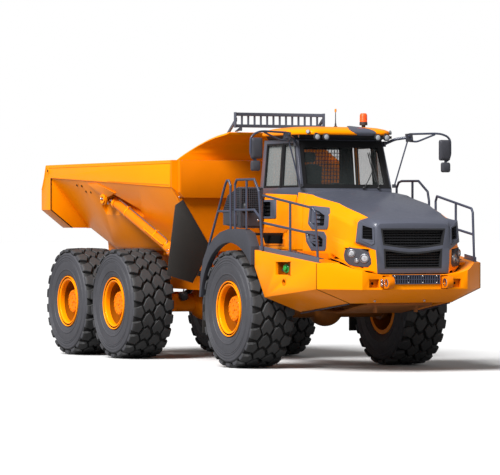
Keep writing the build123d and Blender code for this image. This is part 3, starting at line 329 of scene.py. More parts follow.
class Shape:
    """Collects closed forms that become one piece."""

    def __init__(self):
        self.verts, self.faces, self.mats = [], [], []

    def add(self, verts, faces, mat=0):
        base = len(self.verts)
        self.verts += [Vector(v) for v in verts]
        self.faces += [[base + i for i in f] for f in faces]
        self.mats += [mat] * len(faces)
        return self

    def box(self, centre, size, turn=None, mat=0):
        c, h = Vector(centre), Vector(size) / 2
        turn = turn or Matrix.Identity(3)
        corners = [c + turn @ Vector((h.x * i, h.y * j, h.z * k))
                   for i in (-1, 1) for j in (-1, 1) for k in (-1, 1)]
        return self.add(corners, [(0, 1, 3, 2), (4, 6, 7, 5), (0, 4, 5, 1), (2, 3, 7, 6),
                                  (0, 2, 6, 4), (1, 5, 7, 3)], mat)

    def prism(self, outline, depth, mat=0):
        """Closed plate: outline points in space, depth vector."""
        depth = Vector(depth)
        n = len(outline)
        low = [Vector(p) for p in outline]
        high = [p + depth for p in low]
        faces = [list(range(n))[::-1], list(range(n, 2 * n))]
        faces += [(i, (i + 1) % n, n + (i + 1) % n, n + i) for i in range(n)]
        return self.add(low + high, faces, mat)

    def ring(self, outer, inner, depth, mat=0, inner_mat=None):
        """Closed frame between two outlines of the same count, depth vector."""
        depth, n = Vector(depth), len(outer)
        rows = [[Vector(p) for p in outer], [Vector(p) for p in inner]]
        rows += [[p + depth for p in rows[1]], [p + depth for p in rows[0]]]
        verts = [p for row in rows for p in row]
        for k in range(4):
            a, b = k * n, ((k + 1) % 4) * n
            faces = [(a + i, a + (i + 1) % n, b + (i + 1) % n, b + i) for i in range(n)]
            if k == 0:
                self.add(verts, faces, mat)
                start = len(self.verts) - len(verts)
            else:
                use = inner_mat if (k == 1 and inner_mat is not None) else mat
                self.faces += [[start + v for v in f] for f in faces]
                self.mats += [use] * len(faces)
        return self

    def loft(self, rows, mat=0):
        """Closed form through outlines of the same count."""
        n = len(rows[0])
        faces = [list(range(n))[::-1], list(range((len(rows) - 1) * n, len(rows) * n))]
        for k in range(len(rows) - 1):
            a, b = k * n, (k + 1) * n
            faces += [(a + i, a + (i + 1) % n, b + (i + 1) % n, b + i) for i in range(n)]
        return self.add([p for row in rows for p in row], faces, mat)

    def tube(self, points, radius, bend=0.0, sides=12, mat=0, caps=True):
        line = rounded(points, bend) if bend else [Vector(p) for p in points]
        tangents = []
        for i in range(len(line)):
            a, b = line[max(0, i - 1)], line[min(len(line) - 1, i + 1)]
            tangents.append((b - a).normalized())
        side = tangents[0].orthogonal().normalized()
        verts = []
        for p, t in zip(line, tangents):
            side = (side - t * side.dot(t)).normalized()
            other = t.cross(side)
            for k in range(sides):
                a = 2 * math.pi * k / sides
                verts.append(p + (side * math.cos(a) + other * math.sin(a)) * radius)
        faces = []
        for i in range(len(line) - 1):
            for k in range(sides):
                m = (k + 1) % sides
                faces.append((i * sides + k, i * sides + m, (i + 1) * sides + m, (i + 1) * sides + k))
        if caps:
            last = (len(line) - 1) * sides
            faces.append(list(range(sides))[::-1])
            faces.append([last + k for k in range(sides)])
        return self.add(verts, faces, mat)

    def lathe(self, profile, centre, axis, steps=32, mat=0, closed=False):
        """Turned form: profile rows (along the axis, radius)."""
        centre, axis = Vector(centre), Vector(axis).normalized()
        side = axis.orthogonal().normalized()
        other = axis.cross(side)
        verts, rings = [], []
        for along, radius in profile:
            if radius < 1e-6:
                rings.append([len(verts)] * steps)
                verts.append(centre + axis * along)
            else:
                rings.append(list(range(len(verts), len(verts) + steps)))
                for k in range(steps):
                    a = 2 * math.pi * k / steps
                    verts.append(centre + axis * along
                                 + (side * math.cos(a) + other * math.sin(a)) * radius)
        faces = []
        pairs = list(zip(rings[:-1], rings[1:]))
        if closed:
            pairs.append((rings[-1], rings[0]))
        for a, b in pairs:
            for k in range(steps):
                m = (k + 1) % steps
                face = [a[k], a[m], b[m], b[k]]
                face = [v for i, v in enumerate(face) if v not in face[:i]]
                if len(face) > 2:
                    faces.append(face)
        return self.add(verts, faces, mat)

    def disc(self, centre, axis, radius, depth, edge=0.0, steps=24, mat=0):
        """Drum standing on centre along axis, with a chamfered outer edge."""
        profile = [(0, 0), (0, radius)]
        profile += [(depth - edge, radius), (depth, radius - edge)] if edge else [(depth, radius)]
        return self.lathe(profile + [(depth, 0)], centre, axis, steps, mat)

    def nut(self, centre, axis, radius, height, mat=0):
        """Hexagon bolt head on a washer."""
        self.disc(centre, axis, radius * 1.25, height * 0.25, height * 0.08, 16, mat)
        centre = Vector(centre) + Vector(axis).normalized() * height * 0.2
        return self.lathe([(0, 0), (0, radius), (height * 0.7, radius),
                           (height * 0.85, radius * 0.82), (height * 0.85, 0)], centre, axis, 6, mat)

    def mirrored(self):
        """Adds the same forms on the other side of the middle plane."""
        verts = [Vector((v.x, -v.y, v.z)) for v in self.verts]
        base = len(verts)
        self.faces += [[base + i for i in reversed(f)] for f in self.faces]
        self.verts += verts
        self.mats += list(self.mats)
        return self

    def make(self, name, body, mats, slot=None, bevel=0.0, segments=2, smooth=35, replaces=()):
        mesh = bpy.data.meshes.new(name)
        mesh.from_pydata(self.verts, [], self.faces)
        for mat in mats if isinstance(mats, (list, tuple)) else [mats]:
            mesh.materials.append(mat)
        mesh.polygons.foreach_set("material_index", self.mats)
        work = bmesh.new()
        work.from_mesh(mesh)
        bmesh.ops.recalc_face_normals(work, faces=work.faces)
        work.to_mesh(mesh)
        work.free()
        obj = bpy.data.objects.new(name, mesh)
        bpy.context.scene.collection.objects.link(obj)
        return dress(obj, body, bevel, segments, smooth, replaces)


def applied(obj):
    """Mesh with its modifiers worked in."""
    graph = bpy.context.evaluated_depsgraph_get()
    mesh = bpy.data.meshes.new_from_object(obj.evaluated_get(graph))
    old = obj.data
    obj.modifiers.clear()
    obj.data = mesh
    if old.users == 0:
        bpy.data.meshes.remove(old)
    return obj


def dress(obj, body, bevel=0.0, segments=2, smooth=35, replaces=()):
    if bevel:
        mod = obj.modifiers.new("edges", "BEVEL")
        mod.width, mod.segments = bevel, segments
        mod.limit_method, mod.angle_limit = "ANGLE", math.radians(28)
        mod.use_clamp_overlap = True
        mod.harden_normals = False
        applied(obj)
    if smooth:
        obj.data.shade_smooth()
        obj.data.set_sharp_from_angle(angle=math.radians(smooth))
    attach(obj, body)
    if replaces:
        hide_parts(*replaces)
    return obj


def skin(name, mat, bevel=0.006, segments=2, smooth=35, flat=1.0, paint=None, extra=()):
    """A CAD node's own surface with its edges broken by a small radius. paint picks one of
    the extra materials from a face's centre and normal, measured from the front axle."""
    mesh = nodes[name].data.copy()
    mesh.materials.clear()
    mesh.materials.append(mat)
    mesh.polygons.foreach_set("material_index", [0] * len(mesh.polygons))
    if mesh.has_custom_normals:
        mesh.attributes.remove(mesh.attributes["custom_normal"]) if "custom_normal" in mesh.attributes else None
    work = bmesh.new()
    work.from_mesh(mesh)
    bmesh.ops.remove_doubles(work, verts=work.verts, dist=2e-5)
    bmesh.ops.dissolve_limit(work, angle_limit=math.radians(flat), verts=work.verts,
                             edges=work.edges, delimit=set())
    bmesh.ops.recalc_face_normals(work, faces=work.faces)
    work.to_mesh(mesh)
    work.free()
    for more in extra:
        mesh.materials.append(more)
    if paint:
        for face in mesh.polygons:
            face.material_index = paint(face.center - Vector((FX, 0, 0)), face.normal)
    obj = bpy.data.objects.new(name + "_surface", mesh)
    bpy.context.scene.collection.objects.link(obj)
    return dress(obj, body_of_node[name], bevel, segments, smooth, (name,))


def finish_node(name, mat, smooth=None):
    """Puts a material on a CAD node that stays as it is."""
    mesh = nodes[name].data
    mesh.materials.clear()
    mesh.materials.append(mat)


# ---- camera, light, floor -----------------------------------------------
scene = bpy.context.scene
scene.view_settings.view_transform = "Standard"
scene.view_settings.look = "None"
camera = bpy.data.objects.new("camera", bpy.data.cameras.new("camera"))
scene.collection.objects.link(camera)
camera.location = P(48.576, -25.063, 2.173)
camera.rotation_euler = (P(-2.695, 0.0, 2.024) - camera.location).to_track_quat("-Z", "Y").to_euler()
camera.data.sensor_width = 36.0
camera.data.lens = 3463.0 / 500.0 * 36.0
camera.data.clip_start, camera.data.clip_end = 1.0, 900.0
scene.camera = camera

world = bpy.data.worlds.new("studio")
world.use_nodes = True
scene.world = world
tree = world.node_tree
background = next(n for n in tree.nodes if n.type == "BACKGROUND")
background.inputs["Color"].default_value = (1.0, 1.0, 1.0, 1.0)
# the backdrop is white, the light that it sheds is less
path = node(tree, "ShaderNodeLightPath")
tree.links.new(ramp(tree, path.outputs["Is Camera Ray"], 0.0, 1.0, 0.24, 1.0),
               background.inputs["Strength"])


def sun(name, towards, strength, angle, colour=(1, 1, 1)):
    light = bpy.data.objects.new(name, bpy.data.lights.new(name, "SUN"))
    scene.collection.objects.link(light)
    light.rotation_euler = (-Vector(towards)).to_track_quat("-Z", "Y").to_euler()
    light.data.energy, light.data.angle = strength, math.radians(angle)
    light.data.color = colour
    return light


# direction towards each light
sun("key", (0.32, -0.66, 0.74), 7.0, 30)
sun("front_fill", (0.95, -0.05, 0.22), 0.4, 50)

floor_mat, tree, bsdf = new_material("studio_floor")
coords = object_coords(tree)
shade = mix_colour(tree, noise(tree, coords, 0.35, 3.0), (0.605, 0.605, 0.605), (0.625, 0.625, 0.625))
path = node(tree, "ShaderNodeLightPath")
# the floor sheds less light upwards than it shows
tree.links.new(mix_colour(tree, path.outputs["Is Camera Ray"], (0.27, 0.27, 0.27), shade),
               bsdf.inputs["Base Color"])
bsdf.inputs["Roughness"].default_value = 0.85
bsdf.inputs["Specular IOR Level"].default_value = 0.2
mesh = bpy.data.meshes.new("studio_floor")
mesh.from_pydata([(-400, -400, 0), (400, -400, 0), (400, 400, 0), (-400, 400, 0)], [], [(0, 1, 2, 3)])
mesh.materials.append(floor_mat)
floor = bpy.data.objects.new("studio_floor", mesh)
scene.collection.objects.link(floor)

# ---- tyres --------------------------------------------------------------
# tread surface from the middle to below the shoulder: along, radius
CROWN = [(0.0, 0.9195), (0.10, 0.9185), (0.18, 0.9160), (0.27, 0.9115), (0.338, 0.9080), (0.3570, 0.9000),
         (0.3645, 0.8800), (0.3685, 0.8440)]
crown_run = [0.0]
for (a, r), (b, q) in zip(CROWN[:-1], CROWN[1:]):
    crown_run.append(crown_run[-1] + math.hypot(b - a, q - r))
CROWN_END = crown_run[-1]


def on_crown(s, drop):
    """Point (along, radius) at distance s from the middle, drop under the tread."""
    sign = 1 if s >= 0 else -1
    s = min(abs(s), CROWN_END)
    i = max(k for k in range(len(CROWN) - 1) if crown_run[k] <= s + 1e-9)
    t = (s - crown_run[i]) / (crown_run[i + 1] - crown_run[i])
    (a, r), (b, q) = CROWN[i], CROWN[i + 1]
    run = math.hypot(b - a, q - r)
    nx, nr = -(q - r) / run, (b - a) / run
    if s > crown_run[-2]:
        drop *= 0.5
    return sign * (a + (b - a) * t - nx * drop), r + (q - r) * t - nr * drop


def zig(t, knots):
    """Straight runs through (t, value) rows."""
    for (a, u), (b, v) in zip(knots[:-1], knots[1:]):
        if t <= b + 1e-9:
            return u + (v - u) * (t - a) / (b - a)
    return knots[-1][1]


PITCHES = 22
PITCH = 2 * math.pi * 0.92 / PITCHES
GAP = 0.034
# s range, shift in pitches, back edge knots, front edge knots (fractions of a pitch),
# inner and outer edge zigzag
TREAD_ROWS = [
    (0.018, 0.176, 0.00, [(0, 0.14), (0.5, -0.04), (1, 0.14)], [(0, 1.06), (0.5, 0.86), (1, 1.06)],
     [(0, 0.026), (0.5, -0.024), (1, 0.026)], [(0, -0.024), (0.5, 0.024), (1, -0.024)], 6),
    (0.204, CROWN_END - 0.004, 0.48, [(0, 0.04), (0.4, 0.16), (1, 0.16)], [(0, 0.98), (0.4, 0.90), (1, 0.82)],
     [(0, 0.026), (0.5, -0.024), (1, 0.026)], [(0, 0.0), (1, 0.0)], 9),
    (-0.176, -0.018, 0.48, [(0, 0.14), (0.5, -0.04), (1, 0.14)], [(0, 1.06), (0.5, 0.86), (1, 1.06)],
     [(0, 0.024), (0.5, -0.024), (1, 0.024)], [(0, -0.026), (0.5, 0.024), (1, -0.026)], 6),
    (-CROWN_END + 0.004, -0.204, 0.00, [(0, 0.16), (0.6, 0.16), (1, 0.04)], [(0, 0.82), (0.6, 0.90), (1, 0.98)],
     [(0, 0.0), (1, 0.0)], [(0, -0.026), (0.5, 0.024), (1, -0.026)], 9),
]


def tyre_shape():
    shape = Shape()

    def place(u, s, drop):
        along, radius = on_crown(s, drop)
        angle = u / 0.92
        return Vector((radius * math.cos(angle), along, radius * math.sin(angle)))

    for s0, s1, shift, back, front_, inner, outer, count in TREAD_ROWS:
        wide = 4
        for p in range(PITCHES):
            grid = {}
            wobble = 0.02 * math.sin(p * 2.3 + s0 * 9)
            for i in range(count + 1):
                a = i / count
                for j in range(wide + 1):
                    b = j / wide
                    u0 = (p + shift + zig(a, back) + wobble) * PITCH + GAP / 2
                    u1 = (p + shift + zig(a, front_) + wobble) * PITCH - GAP / 2
                    lo, hi = s0 + zig(b, inner), s1 + zig(b, outer)
                    grid[i, j] = [u0 + (u1 - u0) * b, lo + (hi - lo) * a]
            ring = [(0, j) for j in range(wide + 1)] + [(i, wide) for i in range(1, count + 1)]
            ring += [(count, j) for j in range(wide - 1, -1, -1)] + [(i, 0) for i in range(count - 1, 0, -1)]
            cu = sum(grid[k][0] for k in ring) / len(ring)
            cs = sum(grid[k][1] for k in ring) / len(ring)
            verts, index = [], {}

            def put(key, u, s, drop):
                index[key] = len(verts)
                verts.append(place(u, s, drop))

            for key, (u, s) in grid.items():
                if key in ring:
                    du, ds = cu - u, cs - s
                    run = math.hypot(du, ds)
                    put(key, u + du / run * 0.007, s + ds / run * 0.007, 0.0)
                else:
                    put(key, u, s, 0.0)
            for key in ring:
                u, s = grid[key]
                put(("m", key), u, s, 0.006)
                du, ds = cu - u, cs - s
                run = math.hypot(du, ds)
                put(("l", key), u - du / run * 0.004, s - ds / run * 0.002, 0.052)
            faces, kinds = [], []
            for i in range(count):
                mid = abs(s0 + (s1 - s0) * (i + 0.5) / count)
                for j in range(wide):
                    faces.append((index[i, j], index[i, j + 1], index[i + 1, j + 1], index[i + 1, j]))
                    kinds.append(0 if mid > 0.356 else 1)
            for k, key in enumerate(ring):
                after = ring[(k + 1) % len(ring)]
                faces.append((index[key], index["m", key], index["m", after], index[after]))
                faces.append((index["m", key], index["l", key], index["l", after], index["m", after]))
            faces.append([index["l", key] for key in ring][::-1])
            shape.add(verts, faces, 1)
            shape.mats[-len(faces):] = kinds + [1] * (len(faces) - len(kinds))
    # carcass with its sidewall rings
    half = [(0.0, 0.872), (0.18, 0.867), (0.282, 0.860), (0.322, 0.852), (0.342, 0.838), (0.3530, 0.826),
            (0.3610, 0.822), (0.3665, 0.815), (0.3700, 0.806), (0.3700, 0.796), (0.3640, 0.790),
            (0.3690, 0.770), (0.3715, 0.756), (0.3650, 0.748),
            (0.3672, 0.724), (0.3722, 0.720), (0.3722, 0.715), (0.3678, 0.711),
            (0.3678, 0.698), (0.3726, 0.694), (0.3726, 0.689), (0.3690, 0.685), (0.3715, 0.650), (0.3695, 0.600), (0.3650, 0.560), (0.3650, 0.556),
            (0.3700, 0.552), (0.3700, 0.543), (0.3630, 0.538), (0.3560, 0.512), (0.3530, 0.505),
            (0.3545, 0.497), (0.3500, 0.489), (0.3440, 0.470), (0.3420, 0.458), (0.3330, 0.446),
            (0.3230, 0.438), (0.3090, 0.432), (0.3080, 0.420), (0.3070, 0.388), (0.300, 0.3856)]
    profile = [(-a, r) for a, r in reversed(half) if a > 0] + half
    shape.lathe(profile, (0, 0, 0), (0, 1, 0), 96, 0, closed=True)
    # floor of the grooves, in near-black rubber: painted shade in the grooves
    crown = [(a, r + 0.0012) for a, r in half[:5]]
    shape.lathe([(-a, r) for a, r in reversed(crown) if a > 0] + crown
                + [(a, r - 0.010) for a, r in reversed(crown)]
                + [(-a, r - 0.010) for a, r in crown if a > 0], (0, 0, 0), (0, 1, 0), 96, 2, closed=True)
    return shape


WHEELS = [("front_left", 0.0, 1), ("front_right", 0.0, -1), ("middle_left", MIDDLE_X, 1),
          ("middle_right", MIDDLE_X, -1), ("rear_left", REAR_X, 1), ("rear_right", REAR_X, -1)]
first = tyre_shape()
template = first.make("tyre_template", "tractor", [SIDEWALL, TREAD, GROOVE_SHADE], smooth=30).data
bpy.data.objects.remove(bpy.data.objects["tyre_template"])
for k, (wheel, x, hand) in enumerate(WHEELS):
    tyre = bpy.data.objects.new(f"tyre_{wheel}_tread", template)
    scene.collection.objects.link(tyre)
    tyre.location = P(x, hand * TRACK, AXLE_Z)
    tyre.rotation_euler = (0, 0.5 * math.pi * k, 0 if hand > 0 else math.pi)
    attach(tyre, f"wheel_{wheel}")
    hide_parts(f"tyre_{wheel}")


# ---- rims ---------------------------------------------------------------
def rim_shape(hand):
    rim = Shape()
    axis = (0, hand, 0)
    rim.lathe([(-0.330, 0.362), (-0.330, 0.426), (-0.324, 0.4295), (-0.314, 0.4295), (-0.309, 0.424),
               (-0.309, 0.3842), (0.309, 0.3842), (0.309, 0.424), (0.315, 0.4310), (0.328, 0.4330),
               (0.340, 0.4350), (0.350, 0.4340), (0.354, 0.4300), (0.354, 0.4220),
               (0.346, 0.4145), (0.340, 0.4120), (0.330, 0.4110), (0.310, 0.410),
               (0.310, 0.393), (0.330, 0.392), (0.341, 0.390), (0.344, 0.385), (0.337, 0.368),
               (0.326, 0.360), (0.316, 0.357), (0.252, 0.3580), (0.140, 0.3520), (0.118, 0.345), (0.108, 0.330),
               (0.104, 0.236), (0.110, 0.218), (0.200, 0.212), (0.206, 0.206), (0.206, 0.196), (0.246, 0.190),
               (0.252, 0.184), (0.252, 0.126), (0.248, 0.120), (0.248, 0.0), (0.056, 0.0), (0.056, 0.125),
               (-0.060, 0.125),
               (-0.060, 0.205), (0.058, 0.219), (0.070, 0.340), (-0.290, 0.353)],
              (0, 0, 0), axis, 64, 0, closed=True)
    for k in range(24):
        a = 2 * math.pi * k / 24
        rim.nut((0.275 * math.cos(a), hand * 0.104, 0.275 * math.sin(a)), axis, 0.017, 0.034, 0)
    for k in range(12):
        a = 2 * math.pi * (k + 0.5) / 12
        rim.nut((0.158 * math.cos(a), hand * 0.252, 0.158 * math.sin(a)), axis, 0.0110, 0.014, 4)
    for k in range(3):
        a = 2 * math.pi * k / 3 + 0.4
        rim.disc((0.068 * math.cos(a), hand * 0.248, 0.068 * math.sin(a)), axis, 0.017, 0.010, 0.004, 16, 4)
    rim.disc((0, hand * 0.248, 0), axis, 0.030, 0.012, 0.004, 20, 4)
    # black ring at the bottom of the lock ring's groove: painted shadow of the gap
    rim.lathe([(0.311, 0.3932), (0.311, 0.4102), (0.320, 0.4105), (0.320, 0.3928)], (0, 0, 0), axis, 64, 2,
              closed=True)
    # valve
    rim.tube([(0.0, hand * 0.250, 0.352), (0.0, hand * 0.285, 0.340), (0.0, hand * 0.320, 0.338)], 0.006,
             0.02, 8, 1)
    return rim


for hand in (1, -1):
    template = rim_shape(hand).make("rim_template", "tractor", [YELLOW, STEEL, VOID, RIM_SHADE, YELLOW_SHADED], smooth=32)
    mesh = template.data
    # Painted shade: inside the dish the barrel takes the rim shade and the hub drum the shaded yellow; a band of the
    # flange face beside the lock ring goes black as painted shadow of the gap.
    for poly in mesh.polygons:
        out, along = math.hypot(poly.center.x, poly.center.z), poly.center.y * hand
        if poly.material_index == 0 and out < 0.372 and along < 0.2600:
            poly.material_index = 4 if out < 0.205 else 3
        elif poly.material_index == 0 and 0.3915 < out < 0.4125 and along > 0.300:
            poly.material_index = 2
    bpy.data.objects.remove(template)
    for k, (wheel, x, side) in enumerate(WHEELS):
        if side != hand:
            continue
        rim = bpy.data.objects.new(f"rim_{wheel}_disc", mesh)
        scene.collection.objects.link(rim)
        rim.location = P(x, hand * TRACK, AXLE_Z)
        rim.rotation_euler = (0, 0.5 * k, 0)
        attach(rim, f"wheel_{wheel}")
        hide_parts(f"rim_{wheel}")

# ---- CAD surfaces with broken edges ---------------------------------------
def cab_paint(c, n):
    """0 outside paint, 1 black inside and in the window reveals."""
    out = Vector((c.x, c.y, 0)).normalized()
    if n.dot(out) > 0.55 or (c.z < 2.85 and n.dot(out) > 0.2):
        return 0
    return 1


# The fender's lip outboard of 1.598 stays slate; the rest takes the inner black, partly the fender's black plastic and
# partly painted shade on the crown's shadowed front and underside.
def fender_paint(c, n):
    return 0 if abs(c.y) > 1.598 and not (abs(c.y) < 1.602 and abs(n.y) > 0.9) else 1


def shell_paint(c, n):
    """Inner faces of the hood and cowl sheets are dark."""
    return 1 if Vector((max(0.0, c.x - 1.4) * 0.3, c.y, c.z - 1.9)).dot(n) < -0.05 else 0


def scuttle_paint(c, n):
    """The outer ends continue the yellow of the cowl."""
    return 1 if abs(c.y) > 0.80 and n.y * c.y > 0 and abs(n.y) > 0.5 else 0


def belly_painted_shade(c, n):
    """Painted shade: what hangs low under the front unit takes a dark brown paint that stands in for the shade under
    the truck.
    """
    return 1 if c.z < 1.04 else 0


# The shaded yellow on frames, axles, beams and the headboard is painted shade.
# node: material, edge radius, extra materials, painter
SKINS = {
    # painted shade on the low parts of the front frame and axle
    "front_frame": (YELLOW_SHADED, 0.006, (FRAME_SHADE_AND_DUST,), belly_painted_shade),
    "front_axle": (YELLOW_SHADED, 0.0, (FRAME_SHADE_AND_DUST,), belly_painted_shade),
    "rear_axles": (YELLOW_SHADED, 0.0), "engine_block": (DARK, 0.02),
    "front_bumper": (YELLOW, 0.009), "access_steps": (SLATE_ROUGH, 0.004),
    "side_cowls": (YELLOW, 0.006, (INNER,), shell_paint), "scuttle": (SLATE, 0.006, (YELLOW,), scuttle_paint),
    "cab_frame": (SLATE, 0.010, (INNER,), cab_paint),
    "front_fenders": (SLATE_ROUGH, 0.010, (INNER,), fender_paint),
    "front_mudflaps": (RUBBER, 0.004), "hood_shell": (YELLOW, 0.006, (INNER,), shell_paint),
    "hood_top": (SLATE, 0.006), "grille": (SLATE, 0.009), "cab_door": (YELLOW, 0.008),
    "articulation_head": (YELLOW_SHADED, 0.006), "rear_frame": (YELLOW_SHADED, 0.006),
    "walking_beams": (YELLOW_SHADED, 0.010), "bed_floor": (YELLOW, 0.006), "bed_sides": (YELLOW, 0.008),
    "bed_headboard": (YELLOW_SHADED, 0.007), "spill_guard": (YELLOW, 0.006), "rock_guard": (SLATE, 0.004),
    "bed_flaps": (RUBBER, 0.004),
}
for name, (mat, width, *rest) in SKINS.items():
    extra, paint = rest if rest else ((), None)
    skin(name, mat, width, extra=extra, paint=paint)
# The cylinder barrels take the shaded yellow: painted shade.
for name, mat in {
    "cab_glass": GLASS, "door_glass": GLASS, "step_rails": RAIL, "fender_rails": RAIL,
    "walkway_rails": RAIL, "hoist_barrel_left": YELLOW_SHADED, "hoist_barrel_right": YELLOW_SHADED,
    "hoist_rod_left": CHROME, "hoist_rod_right": CHROME, "steer_barrel_left": YELLOW_SHADED,
    "steer_barrel_right": YELLOW_SHADED, "steer_rod_left": CHROME, "steer_rod_right": CHROME,
}.items():
    finish_node(name, mat)


# ---- hood: vents, lamps, grille -------------------------------------------
def vent(shape, outer, inner, hand, slope=None, proud=0.010, louvres=4):
    """Framed opening in the hood or cowl side. outer and inner are (x, z) outlines of the
    same count; slope = (x where the plate meets the frame, x where the black starts)."""
    face = on_skin(outer, proud, hand)
    lip = on_skin(inner, proud, hand)
    back = on_skin(outer, -0.006, hand)
    deep = on_skin(inner, -0.058, hand)
    n = len(outer)
    verts = face + lip + deep + back
    faces = []
    for a, b in ((0, n), (n, 2 * n), (2 * n, 3 * n), (3 * n, 0)):
        faces += [(a + i, a + (i + 1) % n, b + (i + 1) % n, b + i) for i in range(n)]
    shape.add(verts, faces, 0)
    # black plate behind
    shape.loft([on_skin(inner, -0.050, hand), on_skin(inner, -0.064, hand)], 1)
    xs, zs = [p[0] for p in inner], [p[1] for p in inner]
    x0, x1, z0, z1 = min(xs), max(xs), min(zs), max(zs)
    for k in range(louvres):
        z = z0 + (z1 - z0) * (k + 0.5) / louvres
        # keep the bar inside the outline at this height
        left, right = [], []
        for (ax, az), (bx, bz) in zip(inner, inner[1:] + inner[:1]):
            if (az - z) * (bz - z) < 0:
                x = ax + (bx - ax) * (z - az) / (bz - az)
                (left if x < (x0 + x1) / 2 else right).append(x)
        if not left or not right:
            continue
        a, b = max(left) + 0.004, min(right) - 0.004
        low = on_skin([(a, z - 0.010), (b, z - 0.010), (b, z + 0.010), (a, z + 0.010)], -0.046, hand)
        high = on_skin([(a, z + 0.006), (b, z + 0.006), (b, z + 0.012), (a, z + 0.012)], -0.014, hand)
        shape.loft([low, high], 1)
    if slope:
        # slanted plate over the rear part of the opening
        x_near, x_far = slope
        strip = []
        for x, depth in ((x_near, 0.002), (x_far, 0.048)):
            crossing = sorted(az + (bz - az) * (x - ax) / (bx - ax)
                              for (ax, az), (bx, bz) in zip(inner, inner[1:] + inner[:1])
                              if (ax - x) * (bx - x) < 0)
            low, high = crossing[0], crossing[-1]
            strip.append([(x, low + 0.002, depth), (x, high - 0.002, depth)])
        quad = [strip[0][0], strip[1][0], strip[1][1], strip[0][1]]
        front_ = [P(x, hand * (skin_y(x, z) - d), z) for x, z, d in quad]
        rear_ = [P(x, hand * (skin_y(x, z) - d - 0.008), z) for x, z, d in quad]
        shape.loft([front_, rear_], 0)
    return shape


def patch(shape, outline, proud, hand, mat=0, depth=0.05, rings=7, crown=0.0, step=0.025):
    """Plate over an outline (x, z) that follows the skin, with its rim reaching depth behind."""
    dense = []
    for (ax, az), (bx, bz) in zip(outline, outline[1:] + outline[:1]):
        n = max(1, int(math.hypot(bx - ax, bz - az) / step))
        dense += [(ax + (bx - ax) * i / n, az + (bz - az) * i / n) for i in range(n)]
    cx = sum(p[0] for p in dense) / len(dense)
    cz = sum(p[1] for p in dense) / len(dense)
    n = len(dense)
    rows = [on_skin(dense, -depth, hand), on_skin(dense, proud - 0.006, hand)]
    for k in range(rings):
        f = 1 - k / rings
        if k == 0:
            f = 1 - 0.4 / rings / 2
        rows.append(on_skin([(cx + (x - cx) * f, cz + (z - cz) * f) for x, z in dense],
                            proud + crown * (1 - f * f), hand))
    verts = [p for row in rows for p in row] + on_skin([(cx, cz)], proud + crown, hand)
    faces = [list(range(n))[::-1]]
    for k in range(len(rows) - 1):
        a, b = k * n, (k + 1) * n
        faces += [(a + i, a + (i + 1) % n, b + (i + 1) % n, b + i) for i in range(n)]
    last = (len(rows) - 1) * n
    faces += [(last + i, last + (i + 1) % n, len(verts) - 1) for i in range(n)]
    return shape.add(verts, faces, mat)


VENTS = [
    # body, outer, inner, slope
    ("hood", [(1.205, 2.520), (1.190, 2.245), (1.325, 2.160), (1.815, 2.160), (1.850, 2.205),
              (1.850, 2.412), (1.762, 2.494), (1.300, 2.522)],
     [(1.260, 2.478), (1.250, 2.275), (1.340, 2.215), (1.700, 2.215), (1.718, 2.240),
      (1.718, 2.370), (1.540, 2.432), (1.310, 2.478)], (1.275, 1.470)),
    ("hood", [(1.095, 2.140), (1.140, 1.970), (1.310, 1.835), (1.765, 1.835), (1.810, 1.880),
              (1.810, 2.050), (1.722, 2.124), (1.300, 2.142)],
     [(1.165, 2.090), (1.215, 1.985), (1.330, 1.895), (1.680, 1.895), (1.695, 1.915),
      (1.695, 2.010), (1.590, 2.055), (1.310, 2.090)], (1.235, 1.470)),
]
for hand, side in ((-1, "right"), (1, "left")):
    for k, (body, outer, inner, slope) in enumerate(VENTS):
        vent(Shape(), outer, inner, hand, slope).make(
            f"hood_vent_{side}_{k}", "hood", [SLATE, INNER], bevel=0.003, segments=1)
# rear vent in the right cowl: wide frame ahead of the opening
vent(Shape(), [(-0.430, 2.625), (-0.430, 2.340), (-0.400, 2.330), (0.060, 2.330), (0.090, 2.345),
               (0.090, 2.600), (0.060, 2.625), (-0.400, 2.625)],
     [(-0.395, 2.592), (-0.395, 2.372), (-0.380, 2.362), (-0.125, 2.362), (-0.105, 2.372),
      (-0.105, 2.580), (-0.125, 2.592), (-0.380, 2.592)], -1, None).make(
    "cowl_vent", "tractor", [SLATE, INNER], bevel=0.003, segments=1)
# step opening in the right cowl: stepped reveal over a flat black plate, painted shade of the hollow behind
step = Shape()
hole = [(-0.400, 2.084), (0.330, 2.084), (0.310, 2.030), (0.345, 2.000), (0.330, 1.935), (-0.300, 1.935)]
lip = [(-0.440, 2.112), (0.372, 2.112), (0.350, 2.035), (0.385, 2.004), (0.370, 1.905), (-0.330, 1.905)]
step.ring(on_skin(lip, 0.010), on_skin(hole, 0.010), (0, 0.030, 0), 0)
step.loft([on_skin(hole, 0.0045), on_skin(hole, -0.010)], 1)
step.prism([P(-0.42, -0.912, 2.200), P(0.43, -0.912, 2.200), P(0.50, -0.912, 2.150), P(0.45, -0.912, 2.112),
            P(-0.40, -0.912, 2.112)], (0, 0.010, 0), 0)
step.make("cowl_step", "tractor", [YELLOW_SHADED, VOID], bevel=0.003, segments=1)

